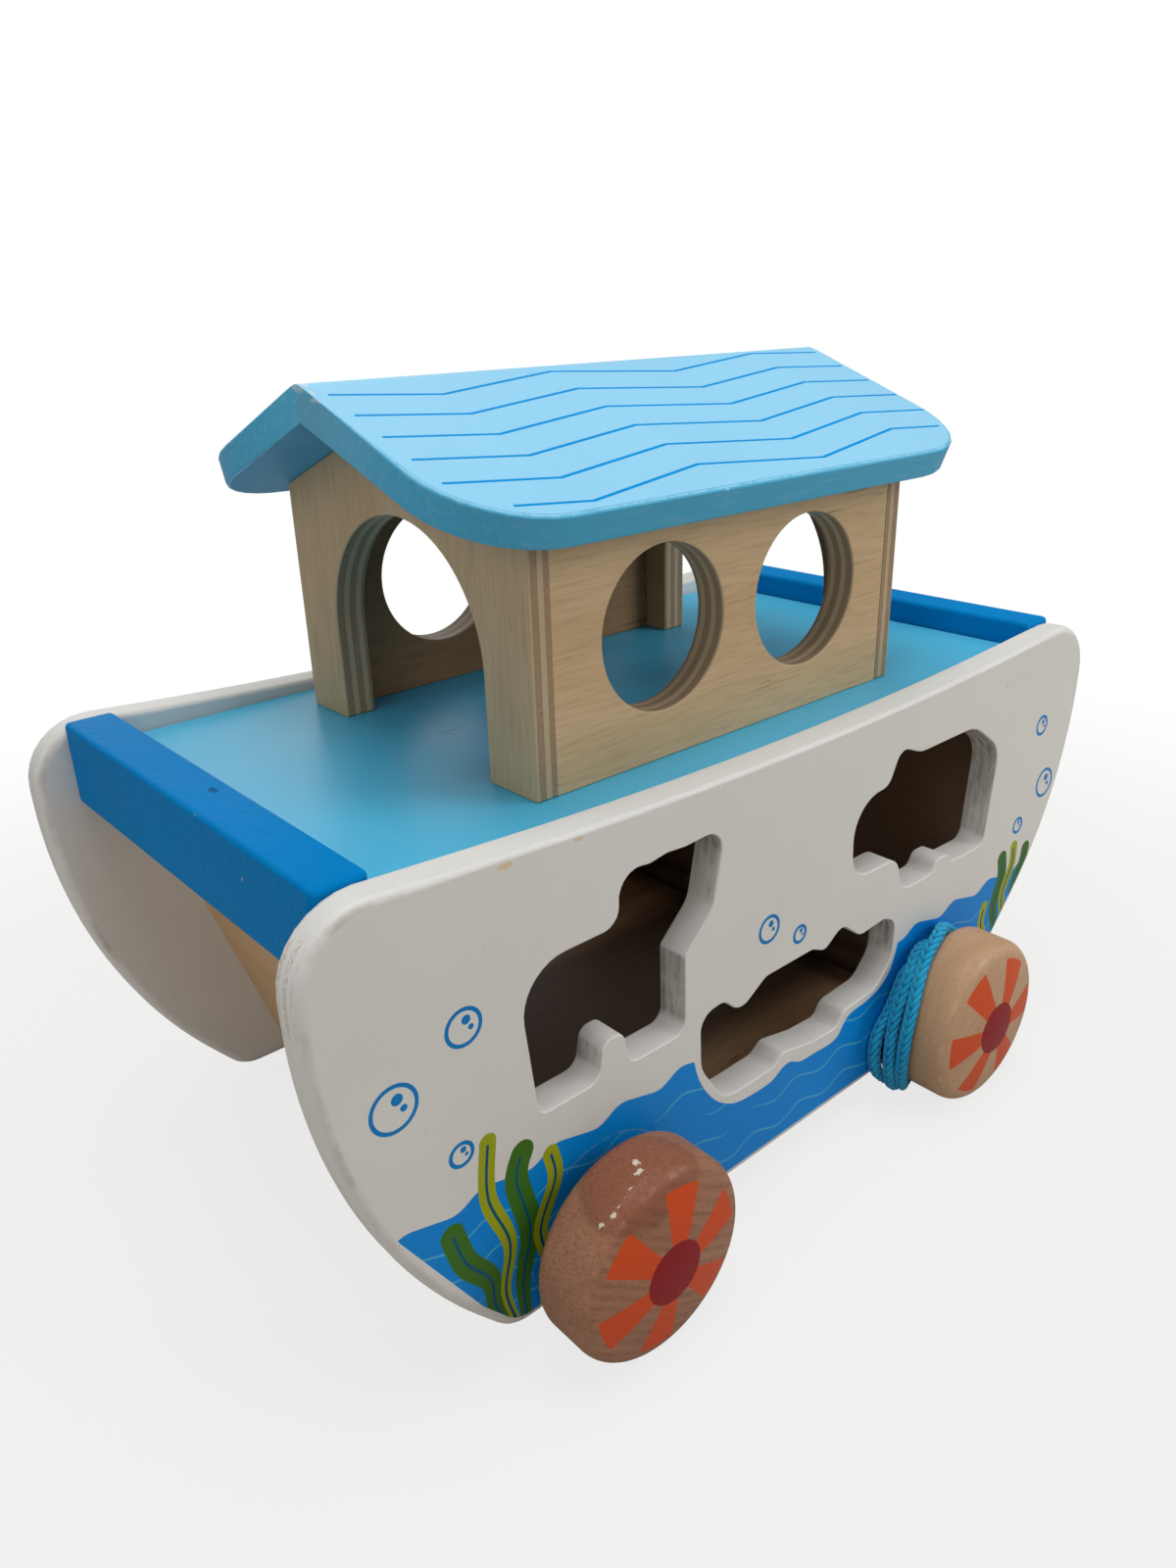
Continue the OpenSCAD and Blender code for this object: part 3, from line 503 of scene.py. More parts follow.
def makeWheelWood(node, middle, outward):
    look = wheelWoods[node]
    dark = look["dark"]
    n = startMaterial("wheelWood_" + node, 0.42, 0.15)
    place = n.place()
    away = n.away(place, tuple(middle))
    turned = n.stretch(away, (1, 1, 1), (0, math.radians(look["grainTurn"]), 0))
    grain = n.group(woodGrain, Vector=turned, Flow=0.5)
    colour = n.mix(look["warm"], look["pale"], grain["Tone"])
    if "heart" in look:                              # darker heartwood inside a dark line
        spot, reach = look["heart"]["middle"], look["heart"]["reach"]
        inner = markOn(n, place, spot, reach, 0.06, 45.0)
        outer = markOn(n, place, spot, [v * 1.07 for v in reach], 0.06, 45.0)
        colour = n.coats(colour, (look["heart"]["colour"], inner, 0.8),
                         (dark, n.times(outer, n.less(1.0, inner)), 0.75))
    parts = n.parts(away)
    squares = [n.times(parts[axis], parts[axis]) for axis in ("X", "Z")]
    radius = n.times(n.calc("SQRT", n.calc("ADD", *squares)), 1 / mm)
    onFace = n.span(radius, 26.2, 23.0)
    # growth rings with ticks on the face, stipple on the tread
    rows = n.times(n.parts(turned)["Z"], wheelLook["rowTurn"])
    rows = n.calc("SINE", n.scaled(n.noise(turned, 60.0), 5.0, rows))
    rows = n.times(n.span(rows, -0.6, 1.0), onFace)
    ticks = n.span(n.noise(n.stretch(turned, (1, 1, 0.2)), 2300.0, 2.0, 0.6), 0.48, 0.66)
    stipple = n.span(n.noise(n.stretch(away, (1, 0.6, 1)), 1900.0, 2.0, 0.6), 0.48, 0.66)
    for mask, share in ((rows, 0.5 * look["rows"]), (n.times(ticks, rows), 1.5 * look["rows"]),
                        (n.times(stipple, n.less(1.0, onFace)), look["stipple"]),
                        (n.span(grain["Fibre"], 0.42, 0.72), 0.25), (grain["Pores"], 0.5)):
        colour = n.mix(colour, dark, mask, share)
    # paler band on the rounding of the rim, broken up by noise: partly wear, partly a painted highlight
    crest = n.times(n.span(radius, 23.9, 24.6), n.span(radius, 25.7, 24.9))
    crest = n.times(crest, n.span(n.noise(place, 220.0, 3.0, 0.6), 0.45, 0.65))
    colour = n.mix(colour, look["crest"], crest, 0.4)
    # rays: from the middle line of a ray to its side, in millimetres round the wheel
    soft = wheelLook["soft"]
    step = 360 / wheelLook["rays"]
    angle = n.calc("ARCTAN2", parts["Z"], parts["X"])
    turn = n.scaled(angle, 180 / math.pi / step, 10.5 - look["rayAt"] / step)
    swing = n.calc("ABSOLUTE", n.less(n.calc("FRACT", turn), 0.5))
    side = n.scaled(radius, wheelLook["rayWide"], wheelLook["rayFlare"])
    off = n.times(n.less(n.times(swing, step, radius), side), math.pi / 180)
    inside = n.span(radius, wheelLook["rayEnd"] + soft, wheelLook["rayEnd"] - soft)
    front = n.span(n.times(parts["Y"], outward), 0.0135, 0.0145)
    ray = n.times(n.span(off, soft, -soft), inside, front)
    colour = n.mix(colour, wheelLook["ray"], ray, n.span(grain["Fibre"], 0.8, 0.5, 0.82, 0.96))
    hub = n.span(radius, wheelLook["hubRadius"] + soft, wheelLook["hubRadius"] - soft)
    colour = n.mix(colour, wheelLook["hub"], n.times(hub, front), 0.97)
    for spot, reach in look.get("scratches", ()):
        colour = n.mix(colour, wheelLook["scratch"], markOn(n, place, spot, reach, 0.7, 1700.0), 0.9)
    height = n.scaled(grain["Pores"], -0.7, grain["Fibre"])
    return finishMaterial(n, colour, n.scaled(grain["Fibre"], 0.2, 0.32), height, 0.2, 0.0003)


# Plain dowel wood, plated steel and braided yarn
dowelLooks = {"dowelWood": {"pale": (0.66, 0.48, 0.29), "dark": (0.48, 0.31, 0.16)},
              # the axles inside the hull are darkened to match it: painted shade
              "shadedAxleWood": {"pale": (0.075, 0.045, 0.026), "dark": (0.05, 0.028, 0.016)}}


def makeDowelWood(name):
    look = dowelLooks[name]
    n = startMaterial(name, 0.55, 0.3)
    turned = n.stretch(n.place(), (1, 1, 1), (0, 0, math.pi / 2))
    grain = n.group(woodGrain, Vector=turned, Flow=0.5)
    colour = n.coats(look["dark"], (look["pale"], grain["Tone"]),
                     (look["dark"], grain["Pores"], 0.5))
    return finishMaterial(n, colour, None, grain["Fibre"], 0.25, 0.0003)


steelLook = {"bright": (0.62, 0.61, 0.58), "dull": (0.42, 0.41, 0.39)}


def makeSteel():
    n = startMaterial("screwSteel", 0.35, 0.5)
    brushed = n.noise(n.stretch(n.place(), (1, 6, 1)), 700.0, 3.0, 0.6)
    n.shade({"Base Color": n.mix(steelLook["dull"], steelLook["bright"], brushed), "Metallic": 1.0,
             "Roughness": n.span(brushed, 0.3, 0.7, 0.28, 0.5)})
    return n.made


# deep is both the dark tone of the fibres and painted shade in the braid's gaps
yarnLook = {"bright": (0.007, 0.39, 0.69), "deep": (0.001, 0.08, 0.20), "faded": (0.035, 0.49, 0.75)}


def makeYarn():
    n = startMaterial("cordYarn", 0.8, 0.25)
    place = n.place()
    fibres = n.noise(place, 2600.0, 3.0, 0.65)
    # painted shade: dark in the gaps between stitches, bright on their tops, by the braid's height
    colour = n.coats(yarnLook["deep"], (yarnLook["bright"], n.span(n.read("lift"), 0.15, 0.85)),
                     (yarnLook["faded"], n.span(n.noise(place, 160.0), 0.45, 0.75), 0.35),
                     (yarnLook["deep"], n.span(fibres, 0.5, 0.8), 0.35))
    n.shade({"Sheen Weight": 0.12, "Sheen Roughness": 0.5})
    return finishMaterial(n, colour, None, fibres, 0.5, 0.0002)


# Shapes: helpers for lines and pieces
def ease(t):
    t = max(0.0, min(1.0, t))
    return t * t * (3 - 2 * t)


# A point on a smooth curve from b to c, which comes from a and goes on to d
def curvePoint(a, b, c, d, t):
    bend, twist = 2 * a - 5 * b + 4 * c - d, 3 * b - a - 3 * c + d
    return 0.5 * (2 * b + (c - a) * t + bend * t * t + twist * t ** 3)


# Even steps along a smooth line through the points
def smoothLine(points, step):
    line = [Vector(p) for p in points]
    dense = []
    for i in range(len(line) - 1):
        around = line[max(i - 1, 0)], line[i], line[i + 1], line[min(i + 2, len(line) - 1)]
        count = max(2, math.ceil((line[i + 1] - line[i]).length / (step / 2)))
        dense.extend(curvePoint(*around, k / count) for k in range(count))
    dense.append(line[-1])
    even = [dense[0]]
    left = step
    for a, b in zip(dense, dense[1:]):
        gap = (b - a).length
        while gap >= left and gap > 0:
            a = a + (b - a) * (left / gap)
            even.append(a)
            gap = (b - a).length
            left = step
        left -= gap
    if (even[-1] - dense[-1]).length > step / 4:
        even.append(dense[-1])
    return even


def newPiece(name, points, faces, materials=(), values=None):
    mesh = bpy.data.meshes.new(name)
    mesh.from_pydata(points, [], faces)
    mesh.shade_smooth()
    for label, numbers in (values or {}).items():
        mesh.attributes.new(label, "FLOAT", "POINT").data.foreach_set("value", numbers)
    for material in materials:
        mesh.materials.append(material)
    made = bpy.data.objects.new(name, mesh)
    scene.collection.objects.link(made)
    return made


# Faces between rows of points; they are triangles where a row is one point
def bands(rows):
    faces = []
    for upper, lower in zip(rows, rows[1:]):
        for k in range(len(upper)):
            m = (k + 1) % len(upper)
            faces.append(tuple(dict.fromkeys((upper[k], upper[m], lower[m], lower[k]))))
    return faces


# Body that a piece moves with, its material slot (not used) and the nodes that it stands for
def settle(piece, body, slot, *nodes):
    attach(piece, body)
    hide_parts(*nodes)


# Pull cord: route as in the solid model, lead first, then the laps round the wheel's inner edge
cordSizes = {"thick": 4.1, "step": 0.34, "sides": 32, "columns": 4, "stitch": 2.8, "slant": 0.75,
             "swell": 0.55}
wheelSizes = {"radius": 26.4, "wide": 20.1, "gap": 5.0, "outerRound": 5.0, "innerRound": 3.0, "dome": 3.7,
              "boss": 9.0, "bossGap": 1.0, "bossEase": 0.6, "rootEase": 0.4, "seat": 4.08, "seatDeep": 11.0,
              "seatEase": 0.3, "meetAngle": 76.5, "sharpAngle": 35, "axleX": 67.6, "turns": 96}
panelOut = -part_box("side_panel_near")[0].y / mm
# knees: travel round the wheel in degrees, place over its inner edge from tread to gap, slack of the loop
lapSizes = {"start": 140.0, "blur": 4, "slackOut": 0.25, "points": 120, "knees": [
    (0, 7.0, 0), (12, 9.0, 0), (25, 12.0, 0), (40, 15.5, 0), (60, 18.5, 0), (140, 18.5, 0), (230, 17.0, 0),
    (250, 11.5, 1.0), (275, 4.6, 3.2), (295, 2.0, 1.8), (310, 1.3, 0.6), (320, 1.2, 0), (340, 1.1, 0),
    (360, 1.4, 0), (372, 3.4, 0), (385, 6.4, 0), (410, 12.5, 0), (430, 14.6, 0), (500, 14.8, 0),
    (585, 12.0, 0), (608, 8.0, 0), (630, 2.5, 0), (645, -0.6, 0), (660, -2.3, 0), (675, -3.3, 0),
    (688, -3.5, 0), (703, -3.4, 0), (718, -2.2, 0), (730, -0.6, 0), (740, 0.6, 0), (757, 1.8, 0),
    (770, 5.4, 0), (782, 9.0, 0), (800, 10.8, 0), (825, 9.0, 0)]}
leadPoints = [
    (93.67, 0, 75), (108.44, 0, 75), (114.4, 0, 72), (119.4, -2, 63), (120.4, -5, 50), (119.4, -9, 36),
    (116.4, -14, 22), (111.4, -19.5, 11.5), (104, -25, 5.2), (95, -31, 3), (85, -38, 2.6), (76, -44, 2.6),
    (68, -52, 2.6), (62, -62, 2.7), (56.5, -70, 3.0), (51.5, -74.6, 4.0), (47.3, -76.5, 5.9),
    (43.1, -76.7, 8.9), (39.8, -76.7, 12.4), (37.9, -76.7, 16.4), (37.2, -76.7, 20.8), (37.7, -76.7, 25.0),
    (39.6, -76.7, 28.6), (42.4, -76.8, 31.6), (45.0, -77.0, 35.6)]
tailPoints = [(92.8, -77.4, 35.5), (95.6, -77.4, 27), (96.2, -77.4, 18), (96.2, -77.4, 8.8)]


def kneeAt(travel):
    knees = lapSizes["knees"]
    travel = max(0.0, min(knees[-1][0], travel))
    before, after = next(pair for pair in zip(knees, knees[1:]) if travel <= pair[1][0])
    share = (travel - before[0]) / (after[0] - before[0])
    return [low + (high - low) * share for low, high in zip(before[1:], after[1:])]


def lapPoint(travel):
    w = wheelSizes
    clear = (w["gap"] - cordSizes["thick"]) / 2
    edgeR = w["innerRound"] + clear + cordSizes["thick"] / 2
    edgeTurn = edgeR * math.pi / 2
    around = [kneeAt(travel + lapSizes["blur"] * k) for k in range(-2, 3)]
    over, slack = (sum(values) / len(around) for values in zip(*around))
    bend = max(0.0, min(edgeTurn, over)) / edgeR
    radius = w["radius"] - w["innerRound"] + edgeR * math.cos(bend) - max(0.0, over - edgeTurn) + slack
    out = panelOut + w["gap"] + w["innerRound"] - edgeR * math.sin(bend) - min(0.0, over)
    angle = math.radians(lapSizes["start"] - travel)
    return (w["axleX"] + radius * math.cos(angle), -(out + lapSizes["slackOut"] * slack),
            w["radius"] + radius * math.sin(angle))


# Height of the braid over the core at a place: columns of slanted stitches that meet in chevrons
def braidLift(around, along):
    column = cordSizes["columns"] * around / (2 * math.pi)
    across = 2 * (column % 1.0) - 1
    slant = cordSizes["slant"] * across * (1 if int(column) % 2 else -1)
    grain = 2 * ((along / cordSizes["stitch"] + slant) % 1.0) - 1
    return math.sqrt(max(0.0, 1 - grain * grain)) * math.sqrt(1 - 0.7 * across * across)


def braidTube(name, line, thick, material):
    sides, swell = cordSizes["sides"], cordSizes["swell"]
    side = Vector((0, 1, 0.2))
    points, lifts = [], []
    along = 0.0
    for n, spot in enumerate(line):
        ahead = (line[min(n + 1, len(line) - 1)] - line[max(n - 1, 0)]).normalized()
        side = (side - ahead * side.dot(ahead)).normalized()
        up = ahead.cross(side)
        along += (spot - line[max(n - 1, 0)]).length
        for k in range(sides):
            around = 2 * math.pi * k / sides
            lifts.append(braidLift(around, along))
            radius = thick / 2 - swell + swell * lifts[-1]
            points.append((spot + (side * math.cos(around) + up * math.sin(around)) * radius) * mm)
    rows = [range(start, start + sides) for start in range(0, len(points), sides)]
    faces = bands(rows) + [tuple(reversed(rows[0])), tuple(rows[-1])]
    return newPiece(name, points, faces, [material], {"lift": lifts})


# Overhand knots pulled tight at both ends of the cord
knotSizes = {"reach": 1.34385, "tall": 1.15, "strand": 3.5, "points": 90}


def makeKnot(name, node, axis, material):
    low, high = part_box(node)
    turn = Vector((0, 0, 1)).rotation_difference(Vector(axis)).to_matrix()
    line = []
    for n in range(knotSizes["points"]):
        t = 2 * math.pi * n / (knotSizes["points"] - 1)
        loop = Vector((math.sin(t) + 2 * math.sin(2 * t), math.cos(t) - 2 * math.cos(2 * t),
                       -math.sin(3 * t) * knotSizes["tall"]))
        line.append((low + high) / 2 / mm + turn @ (loop * knotSizes["reach"]))
    knot = braidTube(name, smoothLine(line, cordSizes["step"]), knotSizes["strand"], material)
    settle(knot, "hull", "cord", node)
    return knot


def makeCord():
    yarn = makeYarn()
    count = lapSizes["points"]
    laps = [lapPoint(lapSizes["knees"][-1][0] * n / count) for n in range(count + 1)]
    line = smoothLine(leadPoints + laps + tailPoints, cordSizes["step"])
    cord = braidTube("pullCord", line, cordSizes["thick"], yarn)
    settle(cord, "hull", "cord", "cord_lead", "cord_winding")
    inner = makeKnot("cordInnerKnot", "cord_knot", (1, 0, 0), yarn)
    outer = makeKnot("cordEndKnot", "cord_end_knot", (0, 0, 1), yarn)


# Flat boards: outline from the solid model, rounded edges, prints cut into the front face.
# A board lies at its origin on the outer face, with u and v across it and d into it
def boardSpot(origin, u, v, d):
    return {"origin": Vector(origin), "u": Vector(u), "v": Vector(v), "d": Vector(d)}


# The outer face of an upright board across x (axis 0) or y (axis 1), and its thickness
def outerSpot(node, axis, sign):
    low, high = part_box(node)
    origin, inward = Vector(), Vector()
    origin[axis] = (low if sign < 0 else high)[axis]
    inward[axis] = -sign
    across = (1, 0, 0) if axis else (0, 1, 0)
    return boardSpot(origin, across, (0, 0, 1), inward), (high[axis] - low[axis]) / mm


def toBoard(spot, point):
    off = Vector(point) - spot["origin"]
    return Vector((off.dot(spot["u"]), off.dot(spot["v"]), off.dot(spot["d"]))) / mm


def signedArea(loop):
    return sum(a.x * b.y - b.x * a.y for a, b in zip(loop, loop[1:] + loop[:1])) / 2


# Outlines of the solid's flat face at a depth: the outer one first, the holes turned the other way
def faceLoops(node, spot, depth=0.0):
    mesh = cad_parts[node].data
    local = [toBoard(spot, v.co) for v in mesh.vertices]
    keys = [(round(p.x, 3), round(p.y, 3)) for p in local]
    edges = {}
    for face in mesh.polygons:
        if all(abs(local[i].z - depth) < 0.01 for i in face.vertices):
            ring = [keys[i] for i in face.vertices]
            for a, b in zip(ring, ring[1:] + ring[:1]):
                if (b, a) in edges:
                    del edges[(b, a)]
                elif a != b:
                    edges[(a, b)] = True
    after = {a: b for a, b in edges}
    loops = []
    while after:
        at = next(iter(after))
        ring = []
        while at in after:
            ring.append(Vector(at))
            at = after.pop(at)
        loops.append(ring)
    loops.sort(key=lambda ring: -abs(signedArea(ring)))
    for n, ring in enumerate(loops):
        if (signedArea(ring) > 0) != (n == 0):
            ring.reverse()
    return loops


# Each point of a loop with its neighbours
def corners(loop):
    return zip(loop[-1:] + loop[:-1], loop, loop[1:] + loop[:1])


# Sharp corners of an outline become small arcs
cornerEase = {"least": 25, "share": 0.4, "steps": 4, "mitreLeast": 0.3}


def easeCorners(loop, radius):
    eased = []
    for a, b, c in corners(loop):
        inward, onward = (b - a).normalized(), (c - b).normalized()
        turn = math.atan2(inward.x * onward.y - inward.y * onward.x, inward.dot(onward))
        if abs(math.degrees(turn)) < cornerEase["least"]:
            eased.append(b)
            continue
        reach = min(radius * math.tan(abs(turn) / 2), cornerEase["share"] * (b - a).length,
                    cornerEase["share"] * (c - b).length)
        start, end = b - inward * reach, b + onward * reach
        for k in range(cornerEase["steps"] + 1):
            t = k / cornerEase["steps"]
            eased.append((1 - t) ** 2 * start + 2 * t * (1 - t) * b + t * t * end)
    return eased


# Steps to the left of each point of a loop, lengthened at corners but not without end
def leftward(loop):
    found = []
    for a, b, c in corners(loop):
        e, f = (b - a).normalized(), (c - b).normalized()
        left, right = Vector((-e.y, e.x)), Vector((-f.y, f.x))
        found.append((left + right) / max(cornerEase["mitreLeast"], 1 + left.dot(right)))
    return found


def ringIds(start, points):
    ids = list(range(start, len(points)))
    return ids if signedArea(points[start:]) > 0 else ids[::-1]


# Triangles of a front face inside its rounded edges, each with the slot of the print on top there
def cutFace(loops, radiusAt, prints, rows):
    known = []                                       # of each inset point: wall place, normal, radius, bore
    points, faces, edges = [], [], []
    for n, loop in enumerate(loops):
        first = len(points)
        for wall, inward in zip(loop, leftward(loop)):
            radius = radiusAt(wall, n)
            points.append(wall + inward * radius)
            known.append((wall, -inward.normalized(), radius, n > 0))
        faces.append(ringIds(first, points))
    for slot, outline in prints:
        first = len(points)
        points.extend(Vector(p) for p in outline)
        faces.append(ringIds(first, points))
    for a, b in rows:
        edges.append((len(points), len(points) + 1))
        points.extend((Vector(a), Vector(b)))
    flat, _, tris, fromPoint, _, fromFace = delaunay_2d_cdt(points, edges, faces, 1, 1e-5)
    holes = set(range(1, len(loops)))
    kept = []
    for tri, source in zip(tris, fromFace):
        source = set(source)
        if 0 in source and not source & holes:
            top = max((s for s in source if s >= len(loops)), default=None)
            kept.append((list(tri), 0 if top is None else prints[top - len(loops)][0]))
    return flat, kept, fromPoint, known


def borderRings(kept):
    edges = dict.fromkeys((a, b) for tri, slot in kept for a, b in zip(tri, tri[1:] + tri[:1]))
    onward = {a: b for a, b in edges if (b, a) not in edges}
    rings = []
    while onward:
        ring = [next(iter(onward))]
        while onward[ring[-1]] != ring[0]:
            ring.append(onward.pop(ring[-1]))
        onward.pop(ring[-1])
        rings.append(ring)
    return rings


# Facts of each point on a ring; points that a print added lie between two known ones
def wallFacts(ring, flat, fromPoint, known):
    sure = [next((known[s] for s in fromPoint[i] if s < len(known)), None) for i in ring]
    count = len(ring)
    facts = list(sure)
    for n in range(count):
        if sure[n] is None:
            before = next(k for k in range(1, count) if sure[n - k] is not None)
            later = next(k for k in range(1, count) if sure[(n + k) % count] is not None)
            a, b = sure[n - before], sure[(n + later) % count]
            left, right = flat[ring[n - before]], flat[ring[(n + later) % count]]
            share = (flat[ring[n]] - left).length / max(1e-6, (right - left).length)
            facts[n] = (a[0].lerp(b[0], share), a[1].lerp(b[1], share).normalized(),
                        a[2] + (b[2] - a[2]) * share, a[3])
    return facts


edgeSteps = 5


# Points, normals, faces and values of a board; shares say how round its front and back edges are
def boardData(loops, thick, radiusAt, prints=(), rows=(), edgeSlot=0, backSlot=0, bend=None, start=0.0,
              whole=None, shares=(1.0, 1.0)):
    flat, kept, fromPoint, known = cutFace(loops, radiusAt, prints, rows)
    coords, normals = [], []
    values = {"rim": [], "depth": [], "bore": []}

    def add(p, d, normal, rim, bore):
        coords.append((p.x, p.y, start + d))
        normals.append(normal)
        for label, value in (("rim", rim), ("depth", (start + d) / (whole or thick)), ("bore", bore)):
            values[label].append(value)
        return len(coords) - 1

    used = sorted({i for tri, slot in kept for i in tri})
    front = {i: add(flat[i], 0.0, (0, 0, -1), 0.0, 0.0) for i in used}
    back = {i: add(flat[i], thick, (0, 0, 1), 0.0, 0.0) for i in used}
    polygons = [([front[i] for i in tri], slot) for tri, slot in kept]
    polygons += [([back[i] for i in reversed(tri)], backSlot) for tri, slot in kept]
    steps = [(k, False) for k in range(1, edgeSteps + 1)] + [(k, True) for k in range(edgeSteps, 0, -1)]
    for ring in borderRings(kept):
        facts = wallFacts(ring, flat, fromPoint, known)
        rowIds = [[front[i] for i in ring]]
        for k, behind in steps:
            angle = math.pi / 2 * k / edgeSteps
            lean = angle if shares[behind] or k == edgeSteps else 0.0
            tilt = math.cos(lean) if behind else -math.cos(lean)
            row = []
            for i, (wall, outward, radius, isBore) in zip(ring, facts):
                p = flat[i] + (wall - flat[i]) * math.sin(angle)
                d = radius * (1 - math.cos(angle)) * shares[behind]
                normal = (outward.x * math.sin(lean), outward.y * math.sin(lean), tilt)
                row.append(add(p, thick - d if behind else d, normal, k / edgeSteps, float(isBore)))
            rowIds.append(row)
        rowIds.append([back[i] for i in ring])
        polygons += [(face, edgeSlot) for face in bands([row[::-1] for row in rowIds])]
    if bend:
        for n, (c, normal) in enumerate(zip(coords, normals)):
            coords[n], normals[n] = bend(c, normal)
    return coords, normals, polygons, values


# Two stepped layers of one board
def joinData(first, second):
    shift = len(first[0])
    moved = [([i + shift for i in ring], slot) for ring, slot in second[2]]
    values = {label: numbers + second[3][label] for label, numbers in first[3].items()}
    return first[0] + second[0], first[1] + second[1], first[2] + moved, values


def boardMesh(name, spot, data, materials):
    coords, normals, polygons, values = data

    def across(c):
        return spot["u"] * c[0] + spot["v"] * c[1] + spot["d"] * c[2]

    flip = spot["u"].cross(spot["v"]).dot(spot["d"]) < 0
    faces = [tuple(ring) if flip else tuple(reversed(ring)) for ring, slot in polygons]
    made = newPiece(name, [spot["origin"] + across(c) * mm for c in coords], faces, materials, values)
    made.data.polygons.foreach_set("material_index", [slot for ring, slot in polygons])
    made.data.normals_split_custom_set_from_vertices([across(normal).normalized() for normal in normals])
    return made


# Pieces of the sea print, drawn in millimetres along the hull and up from the deck
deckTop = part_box("deck")[1].z / mm
seaPrint = {
    "bandTop": -73.6, "bandWave": 1.35, "bandSkew": 0.25, "bandLength": 20.6, "bandCrest": -64.5,
    "sternEdge": ((-129.3, -72.5), (-103.1, -116.0)),
    "lineDrops": (9.0, 18.5, 28.0, 37.5, 47.0), "lineWave": 1.5, "lineWide": 0.55, "lineGap": 9.0,
    "ringWide": 1.0, "ribWide": 0.75, "frondRoot": 0.45, "frondFullAt": 0.7,
    # places, radius and sides of the glints in a bubble, by its radius
    "glints": [(0.15, 0.33, 0.24, 20), (0.38, -0.12, 0.15, 16)],
    # middle and radius of each bubble
    "bubbles": [(-108.7, -29.6, 4.75), (-126.5, -40.4, 5.85), (-111.8, -60.3, 3.35), (-12.6, -45.7, 4.2),
                (0.3, -52.4, 2.9), (121.2, -24.4, 3.5), (128.0, -46.4, 5.2), (113.6, -57.5, 3.0)],
    "margin": [(52, -58), (49.5, -70), (48.4, -74.6), (47.1, -79), (44.8, -84.1), (40.1, -87.6),
               (33.8, -89.3), (28.2, -89.7), (24.8, -90.7), (22.6, -93), (20.4, -95.4), (16.5, -96.2),
               (10.4, -95.8), (3.6, -95.4), (-0.8, -93.3), (-3.9, -93.3), (-6.6, -94.6), (-9.4, -95.7),
               (-14.8, -95.9), (-22, -95.3), (-26.6, -93.7), (-31.8, -89.9), (-36.4, -83.8), (-39.2, -77.7),
               (-41, -70), (-43, -58)],
    # way, width and colour of each sea plant
    "plants": [([(-101, -118), (-106, -108), (-107, -99), (-113, -90), (-116, -80)], 6.2, False),
               ([(-99, -121), (-103, -106), (-101, -92), (-106, -76), (-105, -61)], 4.6, True),
               ([(-97, -122), (-98, -106), (-95, -92), (-98, -76), (-96, -69)], 6.6, False),
               ([(-95, -123), (-90, -108), (-92, -94), (-87, -82), (-88, -74)], 4.6, True),
               ([(103, -104), (106, -94), (104, -84), (107, -74), (106, -67)], 5.4, False),
               ([(106, -101), (110, -91), (109, -81), (113, -72), (113, -65)], 4.2, True),
               ([(110, -97), (116, -88), (116, -80), (120, -73), (121, -68)], 5.0, False),
               ([(101, -105), (100, -95), (97, -88), (98, -82)], 4.0, True)],
}
waveRows = {"half": 150, "low": -140, "step": 1.5, "shift": 19, "until": 148, "length": 52, "more": 17,
            "skew": 0.1, "drift": 2.5, "tip": 0.3, "swell": 9}
panelSlots = ["whitePaint", "seaInk", "waveInk", "bubbleInk", "deepGrassInk", "limeGrassInk", "ribInk"]


def disc(x, z, radius, sides=40):
    turns = [2 * math.pi * k / sides for k in range(sides)]
    return [(x + radius * math.cos(turn), z + radius * math.sin(turn)) for turn in turns]


def ribbon(line, widths):
    left, right = [], []
    for n, p in enumerate(line):
        along = (line[min(n + 1, len(line) - 1)] - line[max(n - 1, 0)]).normalized()
        aside = Vector((-along.y, along.x)) * widths[n] / 2
        left.append(p + aside)
        right.append(p - aside)
    return left + right[::-1]


# A strand with a round tip
def frond(line, wide):
    count = len(line) - 1
    root, fullAt = seaPrint["frondRoot"], seaPrint["frondFullAt"]
    widths = [wide * (root + (1 - root) * ease(n / count / fullAt)) for n in range(count + 1)]
    outline = ribbon(line, widths)
    along = (line[-1] - line[-2]).normalized() * wide / 2
    aside = Vector((-along.y, along.x))
    turns = [math.pi * k / 12 for k in range(1, 12)]
    tip = [line[-1] + aside * math.cos(turn) + along * math.sin(turn) for turn in turns]
    return outline[:count + 1] + tip + outline[count + 1:]


# What lies of an outline on the left of a line from one point to another
def cutAway(outline, start, end):
    start, end = Vector(start), Vector(end)
    aside = Vector((start.y - end.y, end.x - start.x))
    outline = [Vector(p) for p in outline]
    kept = []
    for a, b in zip(outline, outline[1:] + outline[:1]):
        left, right = (a - start).dot(aside), (b - start).dot(aside)
        if left >= 0:
            kept.append(a)
        if (left >= 0) != (right >= 0):
            kept.append(a.lerp(b, left / (left - right)))
    return kept


def roundLoop(points, count=8):
    closed = [Vector(p) for p in points]
    made = []
    for n in range(len(closed)):
        around = [closed[(n + k) % len(closed)] for k in range(-1, 3)]
        made.extend(curvePoint(*around, k / count) for k in range(count))
    return made


